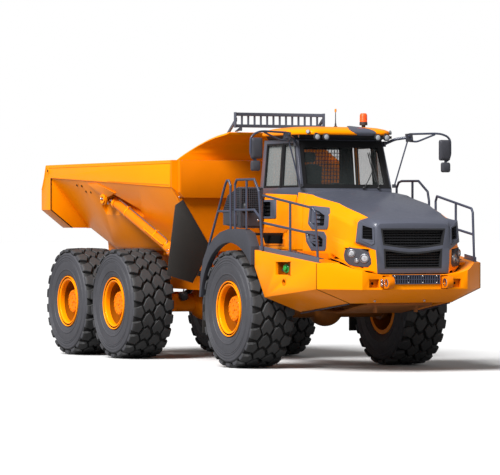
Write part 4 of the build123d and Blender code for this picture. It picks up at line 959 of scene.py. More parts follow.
# headlamp bezels and lamps: (x, z) on the hood corner
BEZEL = [(2.525, 1.850), (2.600, 1.893), (2.735, 1.866), (2.800, 1.800), (2.832, 1.726), (2.836, 1.640),
         (2.806, 1.592), (2.690, 1.604), (2.600, 1.640), (2.530, 1.700), (2.512, 1.775)]
LAMPS = [(2.652, 1.800, 0.050), (2.778, 1.724, 0.058), (2.704, 1.688, 0.025)]
corner_out = Vector((0.77, 0.64, 0.0)).normalized()
for hand, side in ((-1, "right"), (1, "left")):
    shape = Shape()
    patch(shape, BEZEL, 0.016, hand, 0, 0.050, 8, 0.006)
    out = Vector((corner_out.x, hand * corner_out.y, 0))
    for x, z, r in LAMPS:
        c = P(x, hand * (skin_y(x, z) + 0.019), z)
        shape.lathe([(0.0, r + 0.012), (0.010, r + 0.010), (0.014, r + 0.003), (0.010, r),
                     (-0.02, r - 0.006), (-0.02, 0.0), (-0.03, 0.0), (-0.03, r + 0.012)], c, out, 28, 1)
        shape.lathe([(-0.018, 0.0), (-0.018, r * 0.86), (-0.002, r * 0.92), (0.004, r * 0.6), (0.007, 0.0)],
                    c, out, 28, 2)
        shape.lathe([(0.0068, 0.0), (0.0068, r * 0.30), (0.010, r * 0.28), (0.011, 0.0)], c, out, 20, 3)
    shape.make(f"headlamp_{side}", "hood", [SLATE_ROUGH, RING, LENS_WHITE, REFLECTOR], bevel=0.0,
               smooth=40, replaces=("headlamps",) if hand < 0 else ())

# hem that carries the hood side down towards the bumper
LOW_EDGE = [(1.95, 1.695), (2.20, 1.695), (2.48, 1.695), (2.56, 1.660), (2.64, 1.625), (2.70, 1.585), (2.762, 1.545)]
for hand, side in ((-1, "right"), (1, "left")):
    hem = Shape()
    rows = []
    for x, z in LOW_EDGE:
        low = max(z - 0.046, 1.712 - (x - 1.95) * 0.1149 if x < 2.40 else z - 0.046)
        y = skin_y(x, z + 0.02)
        rows.append([P(x, hand * (y - 0.003), z + 0.02), P(x, hand * (y - 0.006), low),
                     P(x, hand * (y - 0.026), low), P(x, hand * (y - 0.026), z + 0.02)])
    hem.loft(rows, 0)
    # dark seam along its lower edge
    hem.tube([row[1] + Vector((0, 0, 0.004)) for row in rows], 0.007, sides=6, mat=1)
    hem.make(f"hood_hem_{side}", "hood", [YELLOW, VOID], bevel=0.0)

# grille: dark mesh behind the openings, edge lips, bars
mesh_ = Shape()
UPPER = [(0.538, 2.160), (0.500, 1.935), (0.250, 1.900), (0.080, 1.885)]
LOWER = [(0.080, 1.805), (0.250, 1.820), (0.488, 1.855), (0.474, 1.585)]


def both(half):
    return half + [(-y, z) for y, z in reversed(half)]


mesh_.box(P(2.795, 0, 1.875), (0.012, 1.12, 0.66), mat=1)
for k in range(15):
    z = 1.590 + k * 0.0415
    half = 0.47 + (z - 1.59) * 0.11
    turn = Matrix.Rotation(math.radians(28), 3, "Y")
    mesh_.box(P(2.832, 0, z), (0.044, 2 * half, 0.007), turn, 0)
for k in range(25):
    y = -0.54 + k * 0.045
    mesh_.box(P(2.812, y, 1.875), (0.010, 0.007, 0.60), mat=0)
for outline in (both(UPPER), both(LOWER)):
    outer = [P(2.8905, y, z) for y, z in outline]
    mesh_.ring(inset(outer, -0.014), inset(outer, 0.012), (-0.055, 0, 0), 0)
mesh_.make("grille_mesh", "hood", [PLASTIC, VOID], bevel=0.0)
# wing vents
wing = Shape()
for hand in (1, -1):
    a, b = P(2.762, hand * 0.836, 2.296), P(2.890, hand * 0.606, 2.215)
    d = P(2.762, hand * 0.868, 1.969)
    out = (b - a).cross(d - a).normalized()
    if out.x < 0:
        out = -out
    pts = [(2.778, 0.806, 2.226), (2.852, 0.672, 2.180), (2.862, 0.668, 1.960), (2.852, 0.690, 1.945),
           (2.785, 0.815, 2.012), (2.776, 0.826, 2.030)]
    opening = []
    for x, y, z in pts:
        p = P(x, hand * y, z)
        opening.append(p - out * (p - a).dot(out))
    wing.ring([p + out * 0.006 for p in inset(opening, -0.020 * hand * -1 if False else -0.020)],
              [p + out * 0.006 for p in inset(opening, 0.006)], -out * 0.06, 0)
    wing.loft([[p - out * 0.045 for p in opening], [p - out * 0.055 for p in opening]], 1)
    for k in range(6):
        z = 1.985 + k * 0.040
        left = Vector(opening[4]).lerp(Vector(opening[0]), (z - 2.012) / 0.214 if z > 2.012 else 0)
        right = Vector(opening[2]).lerp(Vector(opening[1]), min(1, max(0, (z - 1.960) / 0.22)))
        left.z = right.z = z
        mid = (left + right) / 2 - out * 0.022
        along = (right - left)
        turn = Matrix((along.normalized(), along.normalized().cross(out), out)).transposed()
        wing.box(mid, (along.length * 0.94, 0.006, 0.036), turn, 1)
wing.make("wing_vents", "hood", [SLATE, INNER], bevel=0.002, segments=1)

# ---- bumper ---------------------------------------------------------------
def bumper_top(x):
    return 1.879 - (x - 0.5) * 0.11487


def bumper_edge(x):
    """Half width of the bumper's side panel."""
    return 1.640 + (1.410 - 1.640) * (x - 0.78) / (2.45 - 0.78)


toe = Shape()
for hand, runs in ((-1, ((0.84, 2.43),)), (1, ((0.84, 1.28), (1.95, 2.43)))):
    for x0, x1 in runs:
        pts = [P(x0, hand * (bumper_edge(x0) - 0.055), bumper_top(x0) - 0.008),
               P(x1, hand * (bumper_edge(x1) - 0.055), bumper_top(x1) - 0.008),
               P(x1, hand * (bumper_edge(x1) - 0.055), bumper_top(x1) + 0.078),
               P(x0, hand * (bumper_edge(x0) - 0.055), bumper_top(x0) + 0.070)]
        toe.prism(pts, (0, -hand * 0.010, 0))
        # base strip
        toe.prism([P(x0, hand * (bumper_edge(x0) - 0.050), bumper_top(x0) - 0.004),
                   P(x1, hand * (bumper_edge(x1) - 0.050), bumper_top(x1) - 0.004),
                   P(x1, hand * (bumper_edge(x1) - 0.085), bumper_top(x1) - 0.004),
                   P(x0, hand * (bumper_edge(x0) - 0.085), bumper_top(x0) - 0.004)], (0, 0, 0.012))
toe.prism([P(0.98, -0.992, 1.590), P(2.02, -0.992, 1.590), P(2.02, -0.992, 1.790), P(0.98, -0.992, 1.840)],
          (0, 0.008, 0), 1)
toe.make("toe_boards", "tractor", [SLATE, YELLOW_SHADED], bevel=0.003)
# walkway plates with raised studs
walk = Shape()
for hand in (1, -1):
    x0, x1 = 0.92, 2.36
    if hand > 0:
        runs = ((0.92, 1.28), (1.96, 2.14))
    else:
        runs = ((0.92, 1.98),)
    for x0, x1 in runs:
        walk.prism([P(x0, hand * 1.035, bumper_top(x0) - 0.002), P(x1, hand * 1.035, bumper_top(x1) - 0.002),
                    P(x1, hand * (bumper_edge(x1) - 0.19), bumper_top(x1) - 0.002),
                    P(x0, hand * (bumper_edge(x0) - 0.19), bumper_top(x0) - 0.002)], (0, 0, 0.008))
        n = int((x1 - x0 - 0.04) / 0.058)
        for i in range(n):
            x = x0 + 0.035 + i * 0.058
            y = 1.07
            while y < bumper_edge(x) - 0.22:
                walk.disc(P(x, hand * (y + 0.027 * (i % 2)), bumper_top(x) + 0.005), (0.114, 0, 1), 0.011, 0.006,
                          0.003, 8)
                y += 0.054
walk.make("walkway_plates", "tractor", SLATE_ROUGH, bevel=0.0)

front = Shape()   # materials: YELLOW_SHADED, VOID, STEEL, SLATE, YELLOW
# seams of the corner panels
for hand in (1, -1):
    front.tube([P(2.4530, hand * 1.4105, 1.6500), P(2.4535, hand * 1.4105, 1.2640)], 0.0045, sides=6, mat=1)
    front.tube([P(2.4530, hand * 1.4095, 1.2630), P(2.4930, hand * 0.8770, 1.0480)], 0.0045, sides=6, mat=1)
    # pocket liners with a dark hole
    front.box(P(2.885, hand * 0.700, 1.350), (0.010, 0.190, 0.150), mat=0)
    for y0, z0, w, h in ((0.615, 1.35, 0.008, 0.14), (0.785, 1.35, 0.008, 0.14),
                         (0.70, 1.285, 0.178, 0.008), (0.70, 1.415, 0.178, 0.008)):
        front.box(P(2.920, hand * y0, z0), (0.070, w, h), mat=0)
    front.lathe([(0.0, 0.0), (0.0, 0.026), (0.004, 0.030), (0.010, 0.030), (0.010, 0.024), (0.002, 0.022),
                 (0.002, 0.0)], P(2.889, hand * 0.700, 1.350), (1, 0, 0), 20, 0)
    front.disc(P(2.8895, hand * 0.700, 1.350), (1, 0, 0), 0.021, 0.004, mat=1)
    # retaining bracket beside the lug
    front.box(P(2.972, hand * 0.585, 1.362), (0.026, 0.036, 0.105), mat=2)
    front.nut(P(2.984, hand * 0.585, 1.392), (1, 0, 0), 0.012, 0.016, 2)
    front.nut(P(2.984, hand * 0.585, 1.336), (1, 0, 0), 0.012, 0.016, 2)
    # raised bosses round the lug bores
    for y in (0.448, 0.552):
        front.lathe([(0.0, 0.037), (0.0, 0.060), (0.007, 0.058), (0.008, 0.037)],
                    P(3.065, hand * y, 1.365), (0, hand * (1 if y > 0.5 else -1), 0), 32, 2, closed=True)
# step plate between the lugs
front.box(P(2.9665, 0.010, 1.408), (0.014, 0.820, 0.142), mat=1)
for k in range(21):
    front.box(P(2.974, -0.385 + k * 0.0395, 1.408), (0.010, 0.018, 0.120), mat=3)
for z in (1.343, 1.408, 1.473):
    front.box(P(2.975, 0.010, z), (0.012, 0.820, 0.012), mat=3)
for y in (-0.36, -0.13, 0.12, 0.36):
    for z in (1.360, 1.456):
        front.nut(P(2.973, y, z), (1, 0, 0), 0.011, 0.012, 2)
# strip along the lower lip and the belly plate's edge
front.tube([P(1.16, -1.012, 0.872), P(2.470, -0.866, 1.040)], 0.012, sides=8, mat=3)
front.tube([P(1.16, 1.012, 0.872), P(2.470, 0.866, 1.040)], 0.012, sides=8, mat=3)
for y in (-0.50, 0.35):
    front.nut(P(2.600, y, 1.083), (0.46, 0, -0.89), 0.016, 0.018, 2)
front.make("bumper_fittings", "tractor", [YELLOW_SHADED, VOID, STEEL, RAIL, YELLOW], bevel=0.002, segments=1,
           slot="yellow_paint")
# box behind the opening of the right side panel, with its green coupling cap; its walls take the dark rim paint,
# painted shade in the recess
box = Shape()
for x, z, w, h in ((1.575, 1.669, 0.42, 0.010), (1.575, 1.467, 0.42, 0.010), (1.372, 1.568, 0.010, 0.21),
                   (1.778, 1.568, 0.010, 0.21)):
    box.box(P(x, -1.4700, z), (w, 0.060 if x > 1.7 else 0.085, h), mat=0)
box.box(P(1.575, -1.432, 1.568), (0.42, 0.010, 0.21), mat=0)
box.lathe([(0.0, 0.0), (0.0, 0.076), (0.018, 0.074), (0.022, 0.066), (0.022, 0.040), (0.052, 0.034),
           (0.056, 0.026), (0.056, 0.0)], P(1.530, -1.437, 1.566), (0.35, -1, 0), 9, 1)
box.lathe([(0.0, 0.0), (0.0, 0.026), (0.020, 0.024), (0.024, 0.018), (0.024, 0.0)], P(1.420, -1.437, 1.540),
          (0.2, -1, 0), 16, 2)
box.make("service_box", "tractor", [RIM_SHADE, GREEN, DARK], bevel=0.003, segments=1, slot="yellow_paint")
ring_ = Shape()
n_ = Vector((0.137, -1, 0)).normalized()
ring_.lathe([(-0.03, 0.040), (0.004, 0.040), (0.006, 0.044), (0.004, 0.052), (-0.001, 0.054), (-0.03, 0.054)],
            P(1.600, -bumper_edge(1.6), 1.360), n_, 28, 0, closed=True)
ring_.disc(P(1.600, -bumper_edge(1.6) + 0.045, 1.360), n_, 0.050, 0.006, mat=1)
ring_.make("side_hole", "tractor", [YELLOW_SHADED, VOID], slot="yellow_paint")

# ---- cab ------------------------------------------------------------------
def cab_front(z):
    """x of the windscreen plane."""
    return 0.735 + (0.490 - 0.735) * (z - 2.790) / 0.775


def cab_side(z):
    """Half width of the cab's upper side."""
    return 0.800 + (0.748 - 0.800) * (z - 2.790) / 0.775


trim = Shape()
# black surround of the windscreen, covering the header
outer = [P(cab_front(z) + 0.004, y, z) for y, z in
         ((-0.752, 3.545), (0.752, 3.545), (0.790, 2.800), (-0.790, 2.800))]
inner = [P(cab_front(z) + 0.004, y, z) for y, z in
         ((-0.650, 3.440), (0.655, 3.440), (0.688, 2.860), (-0.688, 2.860))]
trim.ring(outer, inner, (-0.05, 0, -0.006), 0)
# slate edges on the right-hand pillar and sill
trim.prism([P(cab_front(3.545) + 0.007, -0.757, 3.545), P(cab_front(3.545) + 0.007, -0.715, 3.545),
            P(cab_front(2.83) + 0.007, -0.752, 2.83), P(cab_front(2.83) + 0.007, -0.797, 2.83)],
           (-0.05, 0, 0), 1)
trim.prism([P(cab_front(3.545) + 0.006, 0.757, 3.545), P(cab_front(3.545) + 0.006, 0.735, 3.545),
            P(cab_front(2.83) + 0.006, 0.775, 2.83), P(cab_front(2.83) + 0.006, 0.797, 2.83)],
           (-0.05, 0, 0), 1)
# seals of the side windows: outlines (x, z)
SIDE_PANES = [(-1, [(-0.556, 2.824), (0.006, 2.824), (0.006, 3.496), (-0.526, 3.496)]),
              (-1, [(0.069, 2.824), (0.636, 2.824), (0.436, 3.496), (0.069, 3.496)]),
              (1, [(0.269, 2.824), (0.636, 2.824), (0.436, 3.496), (0.269, 3.496)])]
for hand, pane in SIDE_PANES:
    pts = [P(x, hand * (cab_side(z) + 0.004), z) for x, z in pane]
    trim.ring(inset(pts, -0.012), inset(pts, 0.020), (0, -hand * 0.030, 0), 0)
# divider of the right side window
trim.box(P(0.038, -0.777, 3.16), (0.034, 0.020, 0.70), Matrix.Rotation(math.radians(-3.8), 3, "X"), 0)
# rear window seal
pts = [P(-0.690 if z < 3 else -0.655, y, z) for y, z in ((-0.606, 3.456), (0.606, 3.456), (0.636, 2.864), (-0.636, 2.864))]
trim.ring(inset(pts, -0.016), inset(pts, 0.020), (0.03, 0, 0), 0)
# side panes in the pale glass: painted reflection of the bright surroundings
panes = Shape()
for hand, pane in SIDE_PANES:
    pts = [P(x, hand * (cab_side(z) - 0.030), z) for x, z in pane]
    panes.loft([pts, [p + Vector((0, -hand * 0.002, 0)) for p in pts]], 0)
panes.make("side_panes", "tractor", GLASS_PAINTED_REFLECTION)
trim.make("cab_trim", "tractor", [INNER, SLATE], bevel=0.003, segments=1, slot="black_plastic")

# guard over the rear window
guard = Shape()
z0, z1, x0, x1 = 2.84, 3.50, -0.722, -0.678
for k in range(24):
    y = -0.63 + k * 0.0548
    guard.tube([P(x0, y, z0), P(x1, y, z1)], 0.0065, sides=5)
for k in range(12):
    t = k / 11
    guard.tube([P(x0 + (x1 - x0) * t - 0.006, -0.66, z0 + (z1 - z0) * t),
                P(x0 + (x1 - x0) * t - 0.006, 0.66, z0 + (z1 - z0) * t)], 0.0065, sides=5)
guard.tube([P(x0 - 0.004, -0.67, z0 - 0.01), P(x0 - 0.004, 0.67, z0 - 0.01), P(x1 - 0.004, 0.67, z1 + 0.01),
            P(x1 - 0.004, -0.67, z1 + 0.01), P(x0 - 0.004, -0.67, z0 - 0.01)], 0.012, 0.04, 8)
guard.make("rear_window_guard", "tractor", RAIL)

# wipers, parked towards the left pillar
wiper = Shape()
for y0, y1, z1 in ((0.300, 0.490, 3.07), (0.560, 0.520, 3.12)):
    base_, tip_ = Vector((cab_front(2.80) + 0.028, y0, 2.800)), Vector((cab_front(z1) + 0.022, y1, z1))
    wiper.tube([P(*base_), P(*(base_.lerp(tip_, 0.55) + Vector((0.012, 0, 0)))), P(*tip_)], 0.0075, sides=8)
    wiper.disc(P(base_.x - 0.03, base_.y, base_.z), (1, 0, 0.3), 0.020, 0.04, 0.006, 14)
    lo, hi = Vector((cab_front(2.90) + 0.013, y1 + 0.03, 2.900)), Vector((cab_front(3.36) + 0.013, y1 - 0.03, 3.360))
    wiper.tube([P(*lo), P(*hi)], 0.008, sides=6)
wiper.make("wipers", "tractor", PLASTIC)

# roof: yellow cap over a dark band
roof = Shape()
ROOF_ROWS = [(3.626, -0.742, 0.874, 0.894), (3.634, -0.750, 0.886, 0.903), (3.662, -0.752, 0.890, 0.905),
             (3.694, -0.742, 0.872, 0.893), (3.722, -0.700, 0.800, 0.840), (3.746, -0.630, 0.690, 0.745),
             (3.760, -0.540, 0.560, 0.640), (3.764, -0.420, 0.400, 0.520)]


def roof_outline(z, x0, x1, w):
    """Six-cornered front, narrower rear."""
    k = w / 0.90
    pts = [P(x0, -0.66 * k, z), P(x0 + 0.12, -0.80 * k, z), P(x1 - 0.46 * k, -w, z), P(x1 - 0.10 * k, -0.735 * k, z),
           P(x1, -0.60 * k, z), P(x1, 0.60 * k, z), P(x1 - 0.10 * k, 0.735 * k, z), P(x1 - 0.46 * k, w, z),
           P(x0 + 0.12, 0.80 * k, z), P(x0, 0.66 * k, z)]
    return round_corners(pts, 0.06, 3)


roof.loft([roof_outline(*row) for row in ROOF_ROWS], 0)
roof.loft([roof_outline(z, x0, x1, w) for z, x0, x1, w in
           ((3.560, -0.700, 0.780, 0.800), (3.600, -0.712, 0.820, 0.835), (3.630, -0.715, 0.830, 0.842))], 1)
roof.make("roof_cap", "tractor", [YELLOW, INNER], smooth=50, replaces=("cab_roof",))
# air intake cover over the brow, marker lamps
inlay = Shape()
rows = [(0.540, 3.774, 0.110, 0.190), (0.700, 3.758, 0.050, 0.260), (0.830, 3.726, -0.010, 0.350),
        (0.888, 3.700, 0.000, 0.400), (0.906, 3.672, 0.060, 0.430), (0.908, 3.648, 0.130, 0.420)]
front_row, back_row = [], []
for x, z, a, b in rows:
    front_row.append([P(x, a + (b - a) * i / 6, z + 0.006 * math.sin(math.pi * i / 6)) for i in range(7)])
    back_row.append([P(x - 0.03, a + (b - a) * i / 6, z - 0.03) for i in range(7)])
verts = [p for row in front_row for p in row] + [p for row in back_row for p in row]
n, m = len(rows), 7
faces = []
for i in range(n - 1):
    for j in range(m - 1):
        faces.append((i * m + j, i * m + j + 1, (i + 1) * m + j + 1, (i + 1) * m + j))
        k = n * m
        faces.append((k + i * m + j, k + (i + 1) * m + j, k + (i + 1) * m + j + 1, k + i * m + j + 1))
rim_ = [i for i in range(m)] + [i * m + m - 1 for i in range(1, n)] + [(n - 1) * m + j for j in range(m - 2, -1, -1)]
rim_ += [i * m for i in range(n - 2, 0, -1)]
for a, b in zip(rim_, rim_[1:] + rim_[:1]):
    faces.append((a, n * m + a, n * m + b, b))
inlay.add(verts, faces, 0)
inlay.make("roof_inlay", "tractor", SLATE, smooth=60)

fit = Shape()  # RING, LENS_WHITE, ORANGE, AMBER, DARK
for y in (-0.610, -0.452, 0.452, 0.610):
    c = P(0.882, y, 3.592)
    fit.lathe([(0.0, 0.0), (0.0, 0.050), (0.006, 0.054), (0.044, 0.054), (0.050, 0.050), (0.050, 0.044),
               (0.040, 0.042), (0.040, 0.0)], c, (1, 0, 0), 28, 0)
    fit.lathe([(0.038, 0.0), (0.038, 0.042), (0.046, 0.040), (0.052, 0.028), (0.054, 0.0)], c, (1, 0, 0), 28, 1)
    fit.box(P(0.868, y, 3.632), (0.03, 0.04, 0.05), mat=0)
c = P(0.540, 0.400, 3.758)
fit.lathe([(0.0, 0.0), (0.0, 0.030), (0.030, 0.030), (0.034, 0.062), (0.048, 0.064), (0.082, 0.062),
           (0.086, 0.058), (0.086, 0.0)], c, (0, 0, 1), 32, 4)
fit.lathe([(0.084, 0.0), (0.084, 0.057), (0.100, 0.059), (0.195, 0.056), (0.214, 0.050), (0.222, 0.036),
           (0.224, 0.0)], c, (0, 0, 1), 32, 2)
for k in range(5):
    fit.lathe([(0.105 + k * 0.018, 0.0592), (0.110 + k * 0.018, 0.0612), (0.115 + k * 0.018, 0.0592)],
              c, (0, 0, 1), 32, 2, closed=True)
c = P(0.360, 0.0, 3.760)
fit.lathe([(0.0, 0.0), (0.0, 0.030), (0.014, 0.028), (0.022, 0.016), (0.060, 0.013), (0.064, 0.009),
           (0.120, 0.0075), (0.236, 0.0060), (0.238, 0.014), (0.262, 0.016), (0.288, 0.0145), (0.290, 0.0)],
          c, (0, 0, 1), 16, 4)
fit.lathe([(0.239, 0.0146), (0.262, 0.0166), (0.286, 0.0152)], c, (0, 0, 1), 16, 3, closed=True)
# front corner markers and side repeaters
for hand in (1, -1):
    out = Vector((0.70, hand * 0.70, 0.12)).normalized()
    c = P(0.832, hand * 0.726, 3.672)
    fit.lathe([(-0.012, 0.0), (-0.012, 0.034), (0.004, 0.034), (0.007, 0.030), (0.007, 0.0)], c, out, 20, 4)
    fit.lathe([(0.006, 0.0), (0.006, 0.029), (0.012, 0.024), (0.014, 0.0)], c, out, 20, 1)
    turn = Matrix.Rotation(-hand * math.radians(62), 3, "Z")
    fit.box(P(0.655, hand * 0.795, 3.601), (0.014, 0.090, 0.030), turn, mat=3)
    fit.box(P(0.650, hand * 0.790, 3.601), (0.014, 0.104, 0.042), turn, mat=4)
fit.make("roof_lights", "tractor", [PLASTIC, LENS_WHITE, LENS_ORANGE, LENS_AMBER, DARK], bevel=0.0, smooth=40,
         slot="lamp", replaces=("roof_fittings",))

# inside: dash, column, console, floor, trainer seat base
cabin = Shape()
cabin.loft([round_corners([P(0.30, -0.66, 2.10), P(0.62, -0.66, 2.10), P(0.62, 0.66, 2.10), P(0.30, 0.66, 2.10)], 0.03),
            round_corners([P(0.26, -0.66, 2.52), P(0.63, -0.66, 2.60), P(0.63, 0.66, 2.60), P(0.26, 0.66, 2.52)], 0.03),
            round_corners([P(0.34, -0.62, 2.63), P(0.60, -0.62, 2.70), P(0.60, 0.62, 2.70), P(0.34, 0.62, 2.63)], 0.03)])
cabin.loft([round_corners([P(0.38, -0.24, 2.64), P(0.52, -0.24, 2.66), P(0.52, 0.24, 2.66), P(0.38, 0.24, 2.64)], 0.02),
            round_corners([P(0.42, -0.21, 2.775), P(0.47, -0.21, 2.785), P(0.47, 0.21, 2.785), P(0.42, 0.21, 2.775)], 0.02)])
cabin.tube([P(0.40, 0, 2.45), P(0.235, 0, 2.765)], 0.034, sides=16)
c, up_ = Vector((0.225, 0, 2.775)), Vector((-0.45, 0, 0.9)).normalized()
side_ = up_.cross(Vector((0, 1, 0)))
loop = [P(*(c + Vector((0, 1, 0)) * 0.215 * math.cos(a) + side_ * 0.215 * math.sin(a)))
        for a in [2 * math.pi * k / 32 for k in range(33)]]
cabin.tube(loop, 0.015, sides=10)
for a in (0.3, math.pi - 0.3, -math.pi / 2):
    cabin.tube([P(*c), P(*(c + Vector((0, 1, 0)) * 0.21 * math.cos(a) + side_ * 0.21 * math.sin(a)))], 0.012)
cabin.disc(P(*(c - up_ * 0.02)), up_, 0.045, 0.04, 0.008, 20)
# right console with levers, armrest
cabin.loft([round_corners([P(-0.42, -0.66, 2.10), P(0.26, -0.66, 2.10), P(0.26, -0.38, 2.10), P(-0.42, -0.38, 2.10)], 0.03),
            round_corners([P(-0.42, -0.66, 2.52), P(0.20, -0.66, 2.58), P(0.20, -0.38, 2.58), P(-0.42, -0.38, 2.52)], 0.03),
            round_corners([P(-0.38, -0.63, 2.55), P(0.17, -0.63, 2.61), P(0.17, -0.41, 2.61), P(-0.38, -0.41, 2.55)], 0.03)])
for x, y in ((0.06, -0.50), (-0.06, -0.50)):
    cabin.tube([P(x, y, 2.56), P(x + 0.02, y, 2.68)], 0.009)
    cabin.lathe([(0, 0), (0, 0.018), (0.03, 0.022), (0.05, 0.014), (0.054, 0)], P(x + 0.02, y, 2.67), (0.1, 0, 1), 14)
cabin.box(P(-0.02, 0, 2.078), (1.26, 1.30, 0.012))
# ceiling panel and rear wall trim
cabin.box(P(-0.06, 0, 3.498), (1.06, 1.28, 0.020))
cabin.box(P(-0.645, 0, 2.60), (0.020, 1.30, 0.52), Matrix.Rotation(math.radians(0), 3, "Y"))
# seat suspension and shell
cabin.loft([round_corners([P(-0.32, -0.19, 2.09), P(0.05, -0.19, 2.09), P(0.05, 0.19, 2.09), P(-0.32, 0.19, 2.09)], 0.04),
            round_corners([P(-0.30, -0.16, 2.22), P(0.03, -0.16, 2.22), P(0.03, 0.16, 2.22), P(-0.30, 0.16, 2.22)], 0.04),
            round_corners([P(-0.34, -0.20, 2.33), P(0.07, -0.20, 2.33), P(0.07, 0.20, 2.33), P(-0.34, 0.20, 2.33)], 0.04),
            round_corners([P(-0.38, -0.24, 2.40), P(0.10, -0.24, 2.40), P(0.10, 0.24, 2.40), P(-0.38, 0.24, 2.40)], 0.05)])
for hand in (1, -1):
    cabin.loft([round_corners([P(-0.36, hand * 0.29, 2.66), P(-0.02, hand * 0.29, 2.66), P(-0.02, hand * 0.29, 2.71), P(-0.36, hand * 0.29, 2.71)], 0.02),
                round_corners([P(-0.36, hand * 0.355, 2.66), P(-0.02, hand * 0.355, 2.66), P(-0.02, hand * 0.355, 2.71), P(-0.36, hand * 0.355, 2.71)], 0.02)])
cabin.make("cab_inside", "tractor", PLASTIC, bevel=0.004, segments=1, replaces=("cab_interior",))


def cushion(name, centre, size, lean=0.0, crown=0.022):
    """Stuffed pad: closed crowned form with a seam line and two flutes, then cloth pressure."""
    sx, sy, sz = size
    nx, ny = 14, 14
    verts, faces = [], []
    turn = Matrix.Rotation(lean, 3, "Y")
    for top_ in (1, 0):
        for i in range(nx + 1):
            for j in range(ny + 1):
                u, v = 2 * i / nx - 1, 2 * j / ny - 1
                # superellipse plan, rolled edge
                k = 1 - 0.10 * (u * u * v * v)
                edge = max(0.0, (1 - u ** 6)) * max(0.0, (1 - v ** 6))
                h = sz / 2 * (0.35 + 0.65 * edge ** 0.35) + (crown * (1 - u * u) * (1 - v * v) if top_ else 0)
                for seam in (-0.52, 0.52):
                    h -= 0.010 * math.exp(-((v - seam) / 0.055) ** 2) * edge
                verts.append(Vector(centre) + turn @ Vector((u * sx / 2 * k, v * sy / 2 * k, h if top_ else -h)))
    w = ny + 1
    half = (nx + 1) * w
    for i in range(nx):
        for j in range(ny):
            a = i * w + j
            faces.append((a, a + w, a + w + 1, a + 1))
            faces.append((half + a, half + a + 1, half + a + w + 1, half + a + w))
    edge_ring = [j for j in range(w)] + [i * w + ny for i in range(1, nx + 1)]
    edge_ring += [nx * w + j for j in range(ny - 1, -1, -1)] + [i * w for i in range(nx - 1, 0, -1)]
    for a, b in zip(edge_ring, edge_ring[1:] + edge_ring[:1]):
        faces.append((a, b, half + b, half + a))
    shape = Shape()
    shape.add(verts, faces, 0)
    mesh = bpy.data.meshes.new(name)
    mesh.from_pydata(shape.verts, [], shape.faces)
    mesh.materials.append(SEAT)
    work = bmesh.new()
    work.from_mesh(mesh)
    bmesh.ops.recalc_face_normals(work, faces=work.faces)
    work.to_mesh(mesh)
    work.free()
    obj = bpy.data.objects.new(name, mesh)
    bpy.context.scene.collection.objects.link(obj)
    start = [v.co.copy() for v in mesh.vertices]
    cloth = obj.modifiers.new("fill", "CLOTH")
    s_ = cloth.settings
    s_.quality, s_.mass = 5, 0.4
    s_.use_pressure, s_.uniform_pressure_force = True, 4.0
    s_.effector_weights.gravity = 0.0
    s_.tension_stiffness = s_.compression_stiffness = 30.0
    s_.bending_stiffness = 2.0
    cloth.point_cache.frame_start, cloth.point_cache.frame_end = 1, 20
    for frame_no in range(1, 21):
        bpy.context.scene.frame_set(frame_no)
    graph = bpy.context.evaluated_depsgraph_get()
    filled = bpy.data.meshes.new_from_object(obj.evaluated_get(graph))
    obj.modifiers.clear()
    for v, q, p in zip(mesh.vertices, filled.vertices, start):
        move = q.co - p
        if move.length > 0.022:
            move *= 0.022 / move.length
        v.co = p + move
    bpy.data.meshes.remove(filled)
    bpy.context.scene.frame_set(1)
    sub = obj.modifiers.new("smooth", "SUBSURF")
    sub.levels = sub.render_levels = 1
    applied(obj)
    obj.data.shade_smooth()
    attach(obj, "tractor")
    return obj


cushion("seat_cushion", P(-0.130, -0.05, 2.462), (0.50, 0.48, 0.110))
cushion("seat_back", P(-0.420, -0.05, 2.860), (0.70, 0.42, 0.105), lean=math.radians(-80))
cushion("seat_headrest", P(-0.505, -0.05, 3.305), (0.17, 0.27, 0.085), lean=math.radians(-80), crown=0.012)
posts = Shape()
for y in (-0.12, 0.02):
    posts.tube([P(-0.475, y, 3.14), P(-0.500, y, 3.27)], 0.008)
posts.make("headrest_posts", "tractor", STEEL)

